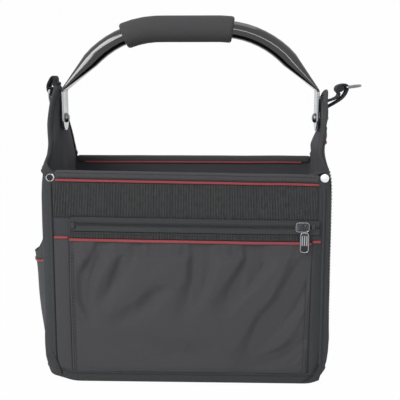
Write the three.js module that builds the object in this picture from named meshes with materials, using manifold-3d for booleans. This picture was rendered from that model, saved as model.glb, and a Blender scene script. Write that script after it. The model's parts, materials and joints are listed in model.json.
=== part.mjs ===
// Open-top zippered tool bag with a steel tube handle that folds down to either side.
// Millimetres, +Z up. The origin is the middle of the base's underside, +X is to the
// right of the zip pocket and the zip pocket faces -Y.

import * as THREE from 'three';
import { mergeVertices } from 'three/addons/utils/BufferGeometryUtils.js';
import Module from 'manifold-3d';

const wasm = await Module();
wasm.setup();

// Gap between two pieces that touch
const fit = 0.3;

// Body of the bag
const bodyWidth = 345;
const bodyDepth = 196;
const wall = 3.6;
const cornerRadius = 5;
const panelTop = 263;
const cornerRise = 9;
const seamInset = 8;

// Base tray, its stiffener and the seam tapes on the four corners
const trayHeight = 15;
const trayEdgeRadius = 14;
const boardThickness = 3;
const boardMargin = 1.5;
const weltWidth = 3.6;
const weltProud = 1.8;

// Raised end of each side panel, which carries the handle
const crestRise = 43;
const shoulderRise = 21;
const shoulderHalf = 78;
const leanRise = 13;
const leanTop = 5;
const crestHalf = 5;
const edgeTape = 1.3;
const edgeTapeLeg = 8;
const edgeTapeEase = 0.2;

// Hem, red piping and ribbed band along the rim
const hemHeight = 9.3;
const hemThickness = 1.7;
const rimInset = 14;
const pipingHeight = 3.1;
const pipingProud = 2.6;
const bandInset = 15.5;
const bandThickness = 2;

// Zip: the chain's middle line, its tapes and its teeth
const zipHeight = 201.2;
const zipLeftInset = 31.5;
const zipRightInset = 12.5;
const tapeWidth = 8.1;
const tapeThickness = 0.8;
const tapeGap = 1.4;
const teethWidth = 2.4;
const teethProud = 1.8;
const stopLength = 3.5;
const stopLeftGap = 3.5;
const stopRightGap = 9.8;

// Zip slider and its pull
const sliderGap = 3.45;
const sliderLength = 16.5;
const sliderHeight = 11;
const sliderPlate = 1.4;
const postThickness = 0.8;
const postLength = 3.2;
const crownOffset = 2.6;
const crownWire = 1.4;
const crownReach = 2.6;
const pullLength = 32;
const pullWidth = 10.5;
const pullThickness = 2.2;
const pullBar = 1.8;
const pullWindowWidth = 3.4;
const pullWindowLength = 4.8;

// Zip pocket and the narrow facings beside it
const pocketLeftInset = 29.3;
const pocketRightInset = 22.1;
const pocketDrop = 17.6;
const pocketThickness = 3.2;
const pocketCrown = 3;
const facingThickness = 1.5;

// Open pocket on the left end
const leftPocketBottom = 18;
const leftPocketHalf = 80;
const leftPocketMouth = 162;
const leftPocketSag = 17;
const leftPocketBulge = 30;
const endBandHeight = 16;
const endSheet = 2;

// Flat pocket on the right end
const rightPocketDrop = 5;
const rightPocketSag = 9;
const rightPocketBulge = 2.6;
const rightPocketHalf = 83;
const rightPocketInset = 10.5;
const rightBand = 28;

// Handle tube, flattened at both ends, with its foam grip
const tubeDiameter = 22;
const tubeWall = 1.2;
const flatThickness = 3.2;
const handleRise = 71;
const handleStraight = 76;
const handleRadius = 125;
const legAngle = THREE.MathUtils.degToRad(47);
const kinkRadius = 5;
const flattenLength = 52;
const pivotHeight = 325;
const gripDiameter = 34;
const gripLength = 143;
const gripShift = -15.7;
const gripFit = 0.25;

// Handle bolts
const boltDiameter = 6;
const boltClearance = 0.35;
const boltHeadDiameter = 13;
const boltHeadHeight = 3.8;
const washerDiameter = 20;
const washerThickness = 1.4;
const spacerDiameter = 18;
const spacerThickness = 1.6;
const nutAcross = 10;
const nutHeight = 5;

// Rivets through the front corners of the rim
const rivetInset = 8.2;
const rivetHeight = 259;
const rivetDiameter = 10.5;
const rivetShank = 4;
const rivetInner = 6;
const rivetCap = 2.1;

// Webbing loops and D-rings on the ends
const webbing = 2.2;
const webbingWidth = 25;
const ringWire = 3.4;
const ringHalf = 15.2;
const ringSide = 5;
const ringCorner = 3.4;
const ringTilt = THREE.MathUtils.degToRad(7);
const rightLoopReach = 31.5;
const rightLoopRise = 34;
const leftLoopReach = 12.4;
const leftLoopRise = 41.7;
const loopSeam = 2;

// Values that follow from the sizes above
const halfWidth = bodyWidth / 2;
const halfDepth = bodyDepth / 2;
const seamX = halfWidth - seamInset;
const bandTop = panelTop - hemHeight - pipingHeight + hemThickness;
const spacerX = halfWidth - wall - fit - spacerThickness;
const stripX = spacerX - fit - flatThickness / 2;
const cornerTop = panelTop + cornerRise;
const shoulderHeight = cornerTop + shoulderRise;
const gableTop = pivotHeight + crestRise;
const leanStart = pivotHeight + leanRise;
const handleTop = gableTop + handleRise;
const pocketTop = zipHeight - pocketDrop;
const rightPocketMouth = pivotHeight - rightPocketDrop;
const rightPiping = rightPocketMouth - rightBand;
const rimHalf = halfWidth - rimInset;
const bandHalf = halfWidth - bandInset;
const zipLeft = zipLeftInset - halfWidth;
const zipRight = halfWidth - zipRightInset;
const stopLeft = zipLeft + stopLeftGap;
const stopRight = zipRight - stopRightGap;
const sliderX = stopRight - sliderGap - sliderLength / 2;
const pocketLeft = pocketLeftInset - halfWidth;
const pocketRight = halfWidth - pocketRightInset;
const rivetX = halfWidth - rivetInset;

const colours = {
  canvas: [0x4b4c4f, 0.85, 0],
  facing: [0x55575a, 0.8, 0],
  ribbed: [0x303133, 0.9, 0],
  tape: [0x3a3b3e, 0.85, 0],
  red: [0xb04a50, 0.75, 0],
  webbing: [0x2f3136, 0.8, 0],
  board: [0x26272a, 0.7, 0],
  zipMetal: [0x2b2c2f, 0.35, 0.7],
  paintedSteel: [0x1a1b1e, 0.18, 0.5],
  brightMetal: [0xcfd2d6, 0.22, 1],
  foam: [0x48494b, 0.95, 0],
};

const bag = new THREE.Group();

function add(name, geometry, colour) {
  const [color, roughness, metalness] = colours[colour];
  const material = new THREE.MeshStandardMaterial({ color, roughness, metalness });
  const mesh = new THREE.Mesh(geometry, material);
  mesh.name = name;
  bag.add(mesh);
  return mesh;
}

// Solids are joined and cut as closed meshes with shared corners
function solid(geometry) {
  const bare = geometry.clone();
  bare.deleteAttribute('normal');
  bare.deleteAttribute('uv');
  const merged = mergeVertices(bare, 1e-4);
  return new wasm.Manifold(new wasm.Mesh({
    numProp: 3,
    vertProperties: new Float32Array(merged.attributes.position.array),
    triVerts: new Uint32Array(merged.index.array),
  }));
}

function surface(manifold) {
  const mesh = manifold.getMesh();
  const geometry = new THREE.BufferGeometry();
  const points = new THREE.Float32BufferAttribute(mesh.vertProperties, 3);
  geometry.setAttribute('position', points);
  geometry.setIndex(Array.from(mesh.triVerts));
  geometry.computeVertexNormals();
  return geometry;
}

// A closed mesh from corners and triangles, turned so that its faces point outwards
function closedMesh(points, triangles) {
  let volume = 0;
  for (const [a, b, c] of triangles) {
    volume += points[a].dot(points[b].clone().cross(points[c]));
  }
  const outward = volume < 0 ? triangles.map(([a, b, c]) => [a, c, b]) : triangles;
  const geometry = new THREE.BufferGeometry().setFromPoints(points);
  geometry.setIndex(outward.flat());
  geometry.computeVertexNormals();
  return geometry;
}

// A skin over rings with equally many corners. An open loft is capped at both ends.
function loft(rings, outline = null, loop = false) {
  const count = rings[0].length;
  const triangles = [];
  const last = loop ? rings.length : rings.length - 1;
  for (let i = 0; i < last; i += 1) {
    const here = i * count;
    const next = ((i + 1) % rings.length) * count;
    for (let k = 0; k < count; k += 1) {
      const l = (k + 1) % count;
      triangles.push([here + k, next + k, next + l], [here + k, next + l, here + l]);
    }
  }
  if (!loop) {
    const end = (rings.length - 1) * count;
    const cap = outline
      ? THREE.ShapeUtils.triangulateShape(outline, [])
      : rings[0].slice(2).map((_, k) => [0, k + 1, k + 2]);
    for (const [a, b, c] of orientedCap(cap, count)) {
      triangles.push([a, b, c], [end + a, end + c, end + b]);
    }
  }
  return closedMesh(rings.flat(), triangles);
}

// A cap's triangles run along the ring in its own order, against the skin's edges
function orientedCap(cap, count) {
  const withRing = cap.some((t) => t.some((a, i) => (a + 1) % count === t[(i + 1) % 3]));
  return withRing ? cap : cap.map(([a, b, c]) => [a, c, b]);
}

// A panel between two faces, each a function of u (across) and v (up), both 0 to 1
function panel(across, up, front, back) {
  const points = [];
  const row = across + 1;
  const size = row * (up + 1);
  for (const face of [front, back]) {
    for (let j = 0; j <= up; j += 1) {
      for (let i = 0; i <= across; i += 1) {
        points.push(face(i / across, j / up));
      }
    }
  }
  const triangles = [];
  for (let j = 0; j < up; j += 1) {
    for (let i = 0; i < across; i += 1) {
      const a = j * row + i;
      const b = a + 1;
      const c = b + row;
      const d = a + row;
      triangles.push([a, b, c], [a, c, d]);
      triangles.push([size + a, size + c, size + b], [size + a, size + d, size + c]);
    }
  }
  const rim = [];
  for (let i = 0; i < across; i += 1) rim.push(i);
  for (let j = 0; j < up; j += 1) rim.push(j * row + across);
  for (let i = across; i > 0; i -= 1) rim.push(up * row + i);
  for (let j = up; j > 0; j -= 1) rim.push(j * row);
  rim.forEach((a, k) => {
    const b = rim[(k + 1) % rim.length];
    triangles.push([b, a, size + a], [b, size + a, size + b]);
  });
  return closedMesh(points, triangles);
}

// An outline in X and Z, drawn as a plate from y0 to y1
function plateAlongY(shape, y0, y1, segments = 8) {
  const plate = new THREE.ExtrudeGeometry(shape, {
    depth: y1 - y0,
    bevelEnabled: false,
    curveSegments: segments,
  });
  return plate.rotateX(Math.PI / 2).translate(0, y1, 0);
}

// An outline in Y and Z, drawn as a strip from x0 to x1
function stripAlongX(shape, x0, x1, segments = 6) {
  const strip = new THREE.ExtrudeGeometry(shape, {
    depth: x1 - x0,
    bevelEnabled: false,
    curveSegments: segments,
  });
  const turn = new THREE.Matrix4().makeBasis(
    new THREE.Vector3(0, 1, 0),
    new THREE.Vector3(0, 0, 1),
    new THREE.Vector3(1, 0, 0),
  );
  return strip.applyMatrix4(turn).translate(x0, 0, 0);
}

// An outline in X and Y, drawn as a post from z0 to z1
function postAlongZ(shape, z0, z1, segments = 5) {
  const post = new THREE.ExtrudeGeometry(shape, {
    depth: z1 - z0,
    bevelEnabled: false,
    curveSegments: segments,
  });
  return post.translate(0, 0, z0);
}

function polygon(points) {
  return new THREE.Shape(points.map(([a, b]) => new THREE.Vector2(a, b)));
}

function rectangle(a0, b0, a1, b1) {
  return polygon([[a0, b0], [a1, b0], [a1, b1], [a0, b1]]);
}

// A rectangle with round corners about the origin's plan
function roundedPlan(halfX, halfY, radius) {
  const shape = new THREE.Shape();
  shape.moveTo(halfX, radius - halfY);
  shape.lineTo(halfX, halfY - radius);
  shape.absarc(halfX - radius, halfY - radius, radius, 0, Math.PI / 2);
  shape.lineTo(radius - halfX, halfY);
  shape.absarc(radius - halfX, halfY - radius, radius, Math.PI / 2, Math.PI);
  shape.lineTo(-halfX, radius - halfY);
  shape.absarc(radius - halfX, radius - halfY, radius, Math.PI, Math.PI * 1.5);
  shape.lineTo(halfX - radius, -halfY);
  shape.absarc(halfX - radius, radius - halfY, radius, -Math.PI / 2, 0);
  return shape;
}

// The same piece on the other side of the bag
function mirrored(geometry) {
  const flipped = geometry.index ? geometry.toNonIndexed() : geometry.clone();
  flipped.deleteAttribute('normal');
  const position = flipped.attributes.position;
  const corner = new THREE.Vector3();
  const points = [];
  for (let i = 0; i < position.count; i += 1) {
    corner.fromBufferAttribute(position, i);
    points.push(new THREE.Vector3(-corner.x, corner.y, corner.z));
  }
  const ordered = [];
  for (let i = 0; i < points.length; i += 3) {
    ordered.push(points[i], points[i + 2], points[i + 1]);
  }
  const result = new THREE.BufferGeometry().setFromPoints(ordered);
  result.computeVertexNormals();
  return result;
}

// A pin, cap or washer: closed profile of radius and distance along the axis
function turned(profile, sides = 18) {
  const points = profile.map(([r, h]) => new THREE.Vector2(r, h));
  return new THREE.LatheGeometry(points, sides);
}

// Turned pieces stand on +Y; this lays them along X or Y at a place
function lieAlongX(geometry, x, y, z) {
  return geometry.rotateZ(-Math.PI / 2).translate(x, y, z);
}

// The raised end leans outwards above the handle's bolt
function lean(z) {
  const share = Math.max(0, (z - leanStart) / (gableTop - leanStart));
  return leanTop * share * share;
}

// Half depth and height of the raised end's outline, from its shoulder to its top
function gableOutline(steps) {
  const start = new THREE.Vector2(halfDepth - cornerRadius, cornerTop);
  const shoulder = new THREE.Vector2(shoulderHalf, shoulderHeight);
  const crest = new THREE.Vector2(0, gableTop);
  const rise = new THREE.CubicBezierCurve(
    start,
    new THREE.Vector2(start.x - 4, start.y + 8),
    new THREE.Vector2(shoulder.x + 4, shoulder.y - 11),
    shoulder,
  );
  const dome = new THREE.CubicBezierCurve(
    shoulder,
    new THREE.Vector2(shoulder.x * 0.72, THREE.MathUtils.lerp(shoulder.y, crest.y, 0.39)),
    new THREE.Vector2(shoulder.x * 0.4, crest.y),
    crest,
  );
  return [...rise.getPoints(steps / 2), ...dome.getPoints(steps).slice(1)];
}

// The outline ends in a short level stretch at the crest
const gableRows = gableOutline(10);
gableRows.splice(-1, 1, new THREE.Vector2(crestHalf, gableTop));

// Half depth of the side panel at a height
function gableHalf(z) {
  if (z <= gableRows[0].y) {
    return gableRows[0].x;
  }
  const above = gableRows.findIndex((point) => point.y >= z);
  const low = gableRows[above - 1];
  const high = gableRows[above];
  return THREE.MathUtils.mapLinear(z, low.y, high.y, low.x, high.x);
}

function makeBase() {
  // Tray that wraps up round the foot of every wall
  function trayBlock(inset, floor, top) {
    const radius = trayEdgeRadius - inset;
    const x = halfWidth - inset;
    const front = new THREE.Shape();
    front.moveTo(x, top);
    front.lineTo(-x, top);
    front.lineTo(-x, floor + radius);
    front.absarc(radius - x, floor + radius, radius, Math.PI, Math.PI * 1.5);
    front.lineTo(x - radius, floor);
    front.absarc(x - radius, floor + radius, radius, -Math.PI / 2, 0);
    const y = halfDepth - inset;
    const plan = roundedPlan(x, y, cornerRadius - inset);
    const across = solid(plateAlongY(front, -y, y));
    return across.intersect(solid(postAlongZ(plan, floor, top)));
  }
  const tray = trayBlock(0, 0, trayHeight).subtract(trayBlock(wall, wall, trayHeight * 2));
  add('base_tray', surface(tray), 'tape');

  const flatHalf = halfWidth - trayEdgeRadius - boardMargin;
  const board = roundedPlan(flatHalf, halfDepth - wall - boardMargin, cornerRadius);
  const boardBottom = wall + fit;
  add('base_board', postAlongZ(board, boardBottom, boardBottom + boardThickness), 'board');
}

// Rivet and bolt holes are cut through every layer that they clamp
function cutRivet(manifold, side) {
  const drill = new THREE.CylinderGeometry(
    rivetShank / 2 + fit, rivetShank / 2 + fit, wall * 6, 16);
  return manifold.subtract(solid(drill.translate(side * rivetX, -halfDepth, rivetHeight)));
}

function makePanels() {
  const edge = seamX - fit / 2;
  const low = trayHeight + fit;
  const front = solid(plateAlongY(rectangle(-edge, low, edge, panelTop), -halfDepth, wall - halfDepth));
  add('front_panel', surface(cutRivet(cutRivet(front, 1), -1)), 'canvas');
  const back = plateAlongY(rectangle(-edge, low, edge, panelTop), halfDepth - wall, halfDepth);
  add('back_panel', back, 'canvas');
}

// Side panel: wraps round both corners and rises to carry the handle's bolt
function makeGables() {
  const inner = cornerRadius - wall;
  const cornerX = halfWidth - cornerRadius;
  const cornerY = halfDepth - cornerRadius;
  const edge = seamX + fit / 2;
  const plan = new THREE.Shape();
  plan.moveTo(edge, -halfDepth);
  plan.lineTo(cornerX, -halfDepth);
  plan.absarc(cornerX, -cornerY, cornerRadius, -Math.PI / 2, 0);
  plan.lineTo(halfWidth, cornerY);
  plan.absarc(cornerX, cornerY, cornerRadius, 0, Math.PI / 2);
  plan.lineTo(edge, halfDepth);
  plan.lineTo(edge, halfDepth - wall);
  plan.lineTo(cornerX, halfDepth - wall);
  plan.absarc(cornerX, cornerY, inner, Math.PI / 2, 0, true);
  plan.lineTo(halfWidth - wall, -cornerY);
  plan.absarc(cornerX, -cornerY, inner, 0, -Math.PI / 2, true);
  plan.lineTo(edge, wall - halfDepth);
  const channel = solid(postAlongZ(plan, trayHeight + fit, cornerTop));

  // The raised end starts inside the channel's straight wall
  const sunk = 6;
  const rows = [new THREE.Vector2(gableRows[0].x, cornerTop - sunk), ...gableRows];
  const face = (x) => (u, v) => {
    const point = rows[Math.round(v * (rows.length - 1))];
    return new THREE.Vector3(x + lean(point.y), (2 * u - 1) * point.x, point.y);
  };
  const raised = panel(10, rows.length - 1, face(halfWidth), face(halfWidth - wall));
  const hole = new THREE.CylinderGeometry(
    boltDiameter / 2 + boltClearance, boltDiameter / 2 + boltClearance, wall * 6, 16);
  hole.rotateZ(Math.PI / 2).translate(halfWidth, 0, pivotHeight);
  const plain = channel.add(solid(raised)).subtract(solid(hole));
  add('gable_right', surface(cutRivet(plain, 1)), 'canvas');
  const left = solid(mirrored(surface(plain)));
  add('gable_left', surface(cutRivet(left, -1)), 'canvas');
}

// Folded tape over the edge of the raised end
function makeEdgeTapes() {
  const gap = wall / 2 + fit + edgeTapeEase;
  const out = gap + edgeTape;
  const outline = [
    [-out, -edgeTapeLeg], [-out, edgeTape + fit], [out, edgeTape + fit],
    [out, -edgeTapeLeg], [gap, -edgeTapeLeg], [gap, fit], [-gap, fit], [-gap, -edgeTapeLeg],
  ].map(([a, b]) => new THREE.Vector2(a, b));
  const path = [
    ...gableRows.map((point) => new THREE.Vector2(-point.x, point.y)),
    ...gableRows.toReversed(),
  ];
  const rings = path.map((point, i) => {
    const before = path[Math.max(0, i - 1)];
    const after = path[Math.min(path.length - 1, i + 1)];
    const along = after.clone().sub(before).normalize();
    const outward = new THREE.Vector2(-along.y, along.x);
    return outline.map(({ x, y }) => {
      const place = point.clone().addScaledVector(outward, y);
      const across = halfWidth - wall / 2 + x + lean(place.y);
      return new THREE.Vector3(across, place.x, Math.max(place.y, cornerTop + fit));
    });
  });
  const right = loft(rings, outline);
  add('edge_tape_right', right, 'tape');
  add('edge_tape_left', mirrored(right), 'tape');
}

// Raised tape over each corner seam
function makeWelts() {
  const top = panelTop - hemHeight - pipingHeight;
  for (const [end, sign] of [['front', -1], ['back', 1]]) {
    for (const [name, side] of [['left', -1], ['right', 1]]) {
      const shape = new THREE.Shape();
      const y = sign * (halfDepth + fit);
      shape.moveTo(side * seamX - weltWidth / 2, y);
      shape.lineTo(side * seamX + weltWidth / 2, y);
      shape.lineTo(side * seamX + weltWidth / 4, y + sign * weltProud);
      shape.lineTo(side * seamX - weltWidth / 4, y + sign * weltProud);
      add(`seam_tape_${end}_${name}`, postAlongZ(shape, trayHeight + fit, top), 'tape');
    }
  }
}

// Profiles of the rim are drawn for the back and turned round for the front
function rimStrip(points, side, half) {
  const shape = polygon(points.map(([y, z]) => [side * y, z]));
  return stripAlongX(shape, -half, half);
}

function makeRim() {
  const low = panelTop - hemHeight + hemThickness;
  const top = panelTop + fit + hemThickness;
  const outer = halfDepth + fit;
  const inner = halfDepth - wall - fit;
  const soft = hemThickness * 0.6;
  const hem = [
    [outer + hemThickness, low], [outer + hemThickness, top - soft],
    [outer + hemThickness - soft, top], [inner - hemThickness + soft, top],
    [inner - hemThickness, top - soft], [inner - hemThickness, low],
    [inner, low], [inner, panelTop + fit], [outer, panelTop + fit], [outer, low],
  ];
  add('rim_hem_front', rimStrip(hem, -1, rimHalf), 'facing');
  add('rim_hem_back', rimStrip(hem, 1, rimHalf), 'facing');

  // Piping is a bead below the hem: outside at the front, inside at the back
  const bead = (face, reach) => [
    [face, low - fit], [face + reach * 0.7, low - fit - pipingHeight * 0.1],
    [face + reach, low - fit - pipingHeight * 0.35], [face + reach, low - fit - pipingHeight * 0.65],
    [face + reach * 0.7, low - fit - pipingHeight * 0.9], [face, low - fit - pipingHeight],
  ];
  add('rim_piping_front', rimStrip(bead(outer, pipingProud), -1, rimHalf), 'red');
  add('rim_piping_back', rimStrip(bead(inner, -pipingProud), 1, rimHalf), 'red');

  // Elastic band with upright ribs across the top of the front
  const bottom = zipHeight + sliderHeight / 2 + 1;
  const bandFace = -halfDepth - fit;
  const band = rectangle(bandFace - bandThickness, bottom, bandFace, bandTop - 2 * fit);
  add('ribbed_band', stripAlongX(band, -bandHalf, bandHalf), 'ribbed');
}

// The zip stands in front of the band, with room for the slider behind it
const tapeBack = halfDepth + bandThickness + 2 * fit;
const tapeFront = tapeBack + tapeThickness;
const teethFront = tapeFront + teethProud;

function makeZip() {
  for (const [name, side] of [['upper', 1], ['lower', -1]]) {
    const near = zipHeight + (side * tapeGap) / 2;
    const far = near + side * tapeWidth;
    const teeth = near + side * teethWidth;
    const outline = [
      [-tapeBack, near], [-tapeBack, far], [-tapeFront, far], [-tapeFront, teeth],
      [-teethFront, teeth], [-teethFront, near],
    ];
    add(`zip_chain_${name}`, stripAlongX(polygon(outline), zipLeft, zipRight), 'tape');
  }
  const stopHalf = tapeGap / 2 + teethWidth;
  const stopFace = teethFront + fit;
  const stop = rectangle(
    -stopFace - tapeThickness, zipHeight - stopHalf, -stopFace, zipHeight + stopHalf);
  add('zip_stop_left', stripAlongX(stop, stopLeft - stopLength / 2, stopLeft + stopLength / 2), 'zipMetal');
  add('zip_stop_right', stripAlongX(stop, stopRight, stopRight + stopLength), 'zipMetal');
}

// Slider: two plates joined by a post that runs between the rows of teeth
const sliderFront = teethFront + fit + 0.1;
const crownX = sliderX + crownOffset;
const pullAxis = sliderFront + sliderPlate + pullThickness / 2 + fit;

function makeSlider() {
  const half = sliderLength / 2;
  const wide = sliderHeight / 2;
  const boat = (scale) => {
    const shape = new THREE.Shape();
    shape.moveTo(sliderX + half, zipHeight - wide * 0.45 * scale);
    shape.lineTo(sliderX + half, zipHeight + wide * 0.45 * scale);
    shape.quadraticCurveTo(
      sliderX + half * 0.7, zipHeight + wide * scale, sliderX + half * 0.2, zipHeight + wide * scale);
    shape.lineTo(sliderX - half * 0.7, zipHeight + wide * 0.8 * scale);
    shape.quadraticCurveTo(
      sliderX - half, zipHeight + wide * 0.75 * scale, sliderX - half, zipHeight + wide * 0.5 * scale);
    shape.lineTo(sliderX - half, zipHeight - wide * 0.5 * scale);
    shape.quadraticCurveTo(
      sliderX - half, zipHeight - wide * 0.75 * scale,
      sliderX - half * 0.7, zipHeight - wide * 0.8 * scale);
    shape.lineTo(sliderX + half * 0.2, zipHeight - wide * scale);
    shape.quadraticCurveTo(
      sliderX + half * 0.7, zipHeight - wide * scale, sliderX + half, zipHeight - wide * 0.45 * scale);
    return shape;
  };
  const backPlateFront = tapeBack - fit;
  const backPlateBack = backPlateFront - sliderPlate;
  const top = solid(plateAlongY(boat(1), -sliderFront - sliderPlate, -sliderFront, 4));
  const back = solid(plateAlongY(boat(0.94), -backPlateFront, -backPlateBack, 4));
  const post = solid(plateAlongY(
    rectangle(
      sliderX + half - postLength * 2, zipHeight - postThickness / 2,
      sliderX + half - postLength, zipHeight + postThickness / 2),
    -sliderFront - sliderPlate / 2, -backPlateBack - sliderPlate / 2));

  // Flanges reach down beside the teeth, as far as the tape
  const teethSide = tapeGap / 2 + teethWidth + fit;
  const flange = (side) => {
    const z0 = zipHeight + side * teethSide;
    const z1 = zipHeight + side * (teethSide + 1.2);
    return solid(plateAlongY(
      rectangle(sliderX - half * 0.8, Math.min(z0, z1), sliderX + half * 0.5, Math.max(z0, z1)),
      -sliderFront - sliderPlate / 2, -tapeFront - fit));
  };

  // Crown: a small bridge that traps the pull's bar
  const bridgeBack = sliderFront + sliderPlate / 2;
  const bridgeInner = pullAxis + pullBar * Math.SQRT1_2 + fit / 2;
  const bridge = polygon([
    [-bridgeBack, crownReach + crownWire], [-bridgeInner - crownWire * 0.5, crownReach + crownWire],
    [-bridgeInner - crownWire, crownReach], [-bridgeInner - crownWire, -crownReach],
    [-bridgeInner - crownWire * 0.5, -crownReach - crownWire], [-bridgeBack, -crownReach - crownWire],
    [-bridgeBack, -crownReach], [-bridgeInner, -crownReach],
    [-bridgeInner, crownReach], [-bridgeBack, crownReach],
  ]);
  const crown = stripAlongX(bridge, crownX - crownWire / 2, crownX + crownWire / 2);
  crown.translate(0, 0, zipHeight);
  const joined = top.add(back).add(post).add(flange(1)).add(flange(-1)).add(solid(crown));
  add('zip_slider', surface(joined), 'zipMetal');
}

function makePull() {
  // Outline about the axis of the bar that hangs in the crown
  const neck = pullWindowWidth / 2 + pullBar * 0.8;
  const wide = pullWidth / 2;
  const bar = pullBar / 2;
  const end = bar - pullLength;
  const windowEnd = -bar - pullWindowLength;
  const shoulder = windowEnd - 0.7;
  const shape = new THREE.Shape();
  shape.moveTo(-neck, bar);
  shape.lineTo(-neck, shoulder);
  shape.quadraticCurveTo(-wide * 0.95, shoulder - 1, -wide, shoulder - wide);
  shape.lineTo(-wide, end + wide * 0.8);
  shape.quadraticCurveTo(-wide, end, -wide * 0.2, end);
  shape.lineTo(wide * 0.2, end);
  shape.quadraticCurveTo(wide, end, wide, end + wide * 0.8);
  shape.lineTo(wide, shoulder - wide);
  shape.quadraticCurveTo(wide * 0.95, shoulder - 1, neck, shoulder);
  shape.lineTo(neck, bar);
  const eye = new THREE.Path();
  eye.moveTo(-pullWindowWidth / 2, -bar);
  eye.lineTo(pullWindowWidth / 2, -bar);
  eye.lineTo(pullWindowWidth / 2, windowEnd);
  eye.lineTo(-pullWindowWidth / 2, windowEnd);
  const finger = new THREE.Path();
  finger.moveTo(-wide * 0.45, end + wide * 0.5);
  finger.lineTo(wide * 0.45, end + wide * 0.5);
  finger.lineTo(0, end + wide * 1.45);
  shape.holes.push(eye, finger);
  const plate = solid(plateAlongY(shape, -pullThickness / 2, pullThickness / 2, 4));

  // The bar end is thinner than the grip so that it turns inside the crown
  const relief = new THREE.BoxGeometry(pullWidth * 2, pullThickness, pullBar * 2);
  const shift = (pullBar + pullThickness) / 2 + fit / 4;
  const reliefHeight = bar - pullBar + 0.2;
  const outer = solid(relief.clone().translate(0, -shift, reliefHeight));
  const inner = solid(relief.clone().translate(0, shift, reliefHeight));

  // Raised ridges along the grip
  let pull = plate.subtract(outer).subtract(inner);
  const ridge = pullWidth / 9;
  for (const place of [-2.4, 0, 2.4]) {
    const from = windowEnd - wide * 0.9;
    const to = end + wide * 1.7;
    const strip = rectangle(place * ridge - ridge / 2, to, place * ridge + ridge / 2, from);
    const proud = solid(plateAlongY(strip, -pullThickness / 2 - 0.5, 0));
    pull = pull.add(proud);
  }
  const shaped = surface(pull).translate(crownX, -pullAxis, zipHeight);
  add('zip_pull', shaped, 'zipMetal');
}

function makeFrontPocket() {
  const face = halfDepth + fit;
  const low = trayHeight + fit;
  const outer = (u, v) => {
    const across = 1 - (2 * u - 1) ** 4;
    const swell = pocketCrown * across * Math.sin(Math.PI * v) ** 0.7;
    return new THREE.Vector3(
      THREE.MathUtils.lerp(pocketLeft, pocketRight, u),
      -face - pocketThickness - swell,
      THREE.MathUtils.lerp(low, pocketTop, v),
    );
  };
  const inner = (u, v) => outer(u, v).setY(-face);
  add('zip_pocket', panel(14, 8, outer, inner), 'facing');

  // Ribbed strip between the zip and the pocket
  const stripTop = zipHeight - tapeGap / 2 - tapeWidth - fit;
  const stripOutline = rectangle(
    -tapeBack - facingThickness, pocketTop + fit, -tapeBack, stripTop);
  add('pocket_strip', stripAlongX(stripOutline, pocketLeft, pocketRight), 'ribbed');

  // Red piping over the pocket's top edge, and shorter lengths on the facings
  const bead = (back, top, height, reach) => polygon([
    [-back, top], [-back - reach * 0.7, top - height * 0.1], [-back - reach, top - height * 0.35],
    [-back - reach, top - height * 0.65], [-back - reach * 0.7, top - height * 0.9],
    [-back, top - height],
  ]);
  const beadBack = face + pocketThickness + fit;
  const reach = pipingProud * 0.8;
  const piping = bead(beadBack, pocketTop, pipingHeight, reach);
  add('pocket_piping', stripAlongX(piping, pocketLeft, pocketRight), 'red');

  const outerEdge = seamX - weltWidth / 2 - fit;
  const sides = [
    ['left', -outerEdge, pocketLeft - fit],
    ['right', pocketRight + fit, outerEdge],
  ];
  for (const [name, x0, x1] of sides) {
    const top = pocketTop + pipingHeight / 2;
    const strip = rectangle(-face - facingThickness, low, -face, top - pipingHeight - fit);
    add(`side_facing_${name}`, stripAlongX(strip, x0, x1), 'facing');
    add(`side_piping_${name}`, stripAlongX(bead(face, top, pipingHeight, reach), x0, x1), 'red');
  }
}

// A soft end pocket: a sheet that stands off the side panel, in body, piping and band
function makeEndPocket(name, mirror, stand, half, bottom, trim, mouth) {
  const base = halfWidth + fit;
  const place = (out) => (from, to) => (u, v) => {
    const t = 2 * u - 1;
    const z = THREE.MathUtils.lerp(from(t), to(t), v);
    return new THREE.Vector3(base + out + stand(t, z), t * half(z), z);
  };
  const sheet = (from, to, rows) => {
    const inner = place(0)(from, to);
    const outer = place(endSheet)(from, to);
    return panel(12, rows, outer, inner);
  };
  const above = (edge, distance) => (t) => edge(t) + distance;
  const body = sheet(() => bottom, trim, 8);
  const band = sheet(above(trim, fit), mouth, 2);
  const rings = [];
  for (let i = 0; i <= 12; i += 1) {
    const t = (i / 12) * 2 - 1;
    const z = trim(t);
    const x = base + endSheet + fit + stand(t, z) + 0.2;
    const y = t * half(z);
    const ring = [[0, 1], [0.7, 0.8], [1, 0.3], [1, -0.3], [0.7, -0.8], [0, -1]];
    const reach = pipingProud * 0.7;
    rings.push(ring.map(([a, b]) => (
      new THREE.Vector3(x + a * reach, y, z + (b * pipingHeight) / 2))));
  }
  const piping = loft(rings);
  const finish = (geometry) => (mirror ? mirrored(geometry) : geometry);
  add(`end_pocket_${name}`, finish(body), 'canvas');
  add(`end_pocket_band_${name}`, finish(band), 'ribbed');
  add(`end_pocket_piping_${name}`, finish(piping), 'red');
}

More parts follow.
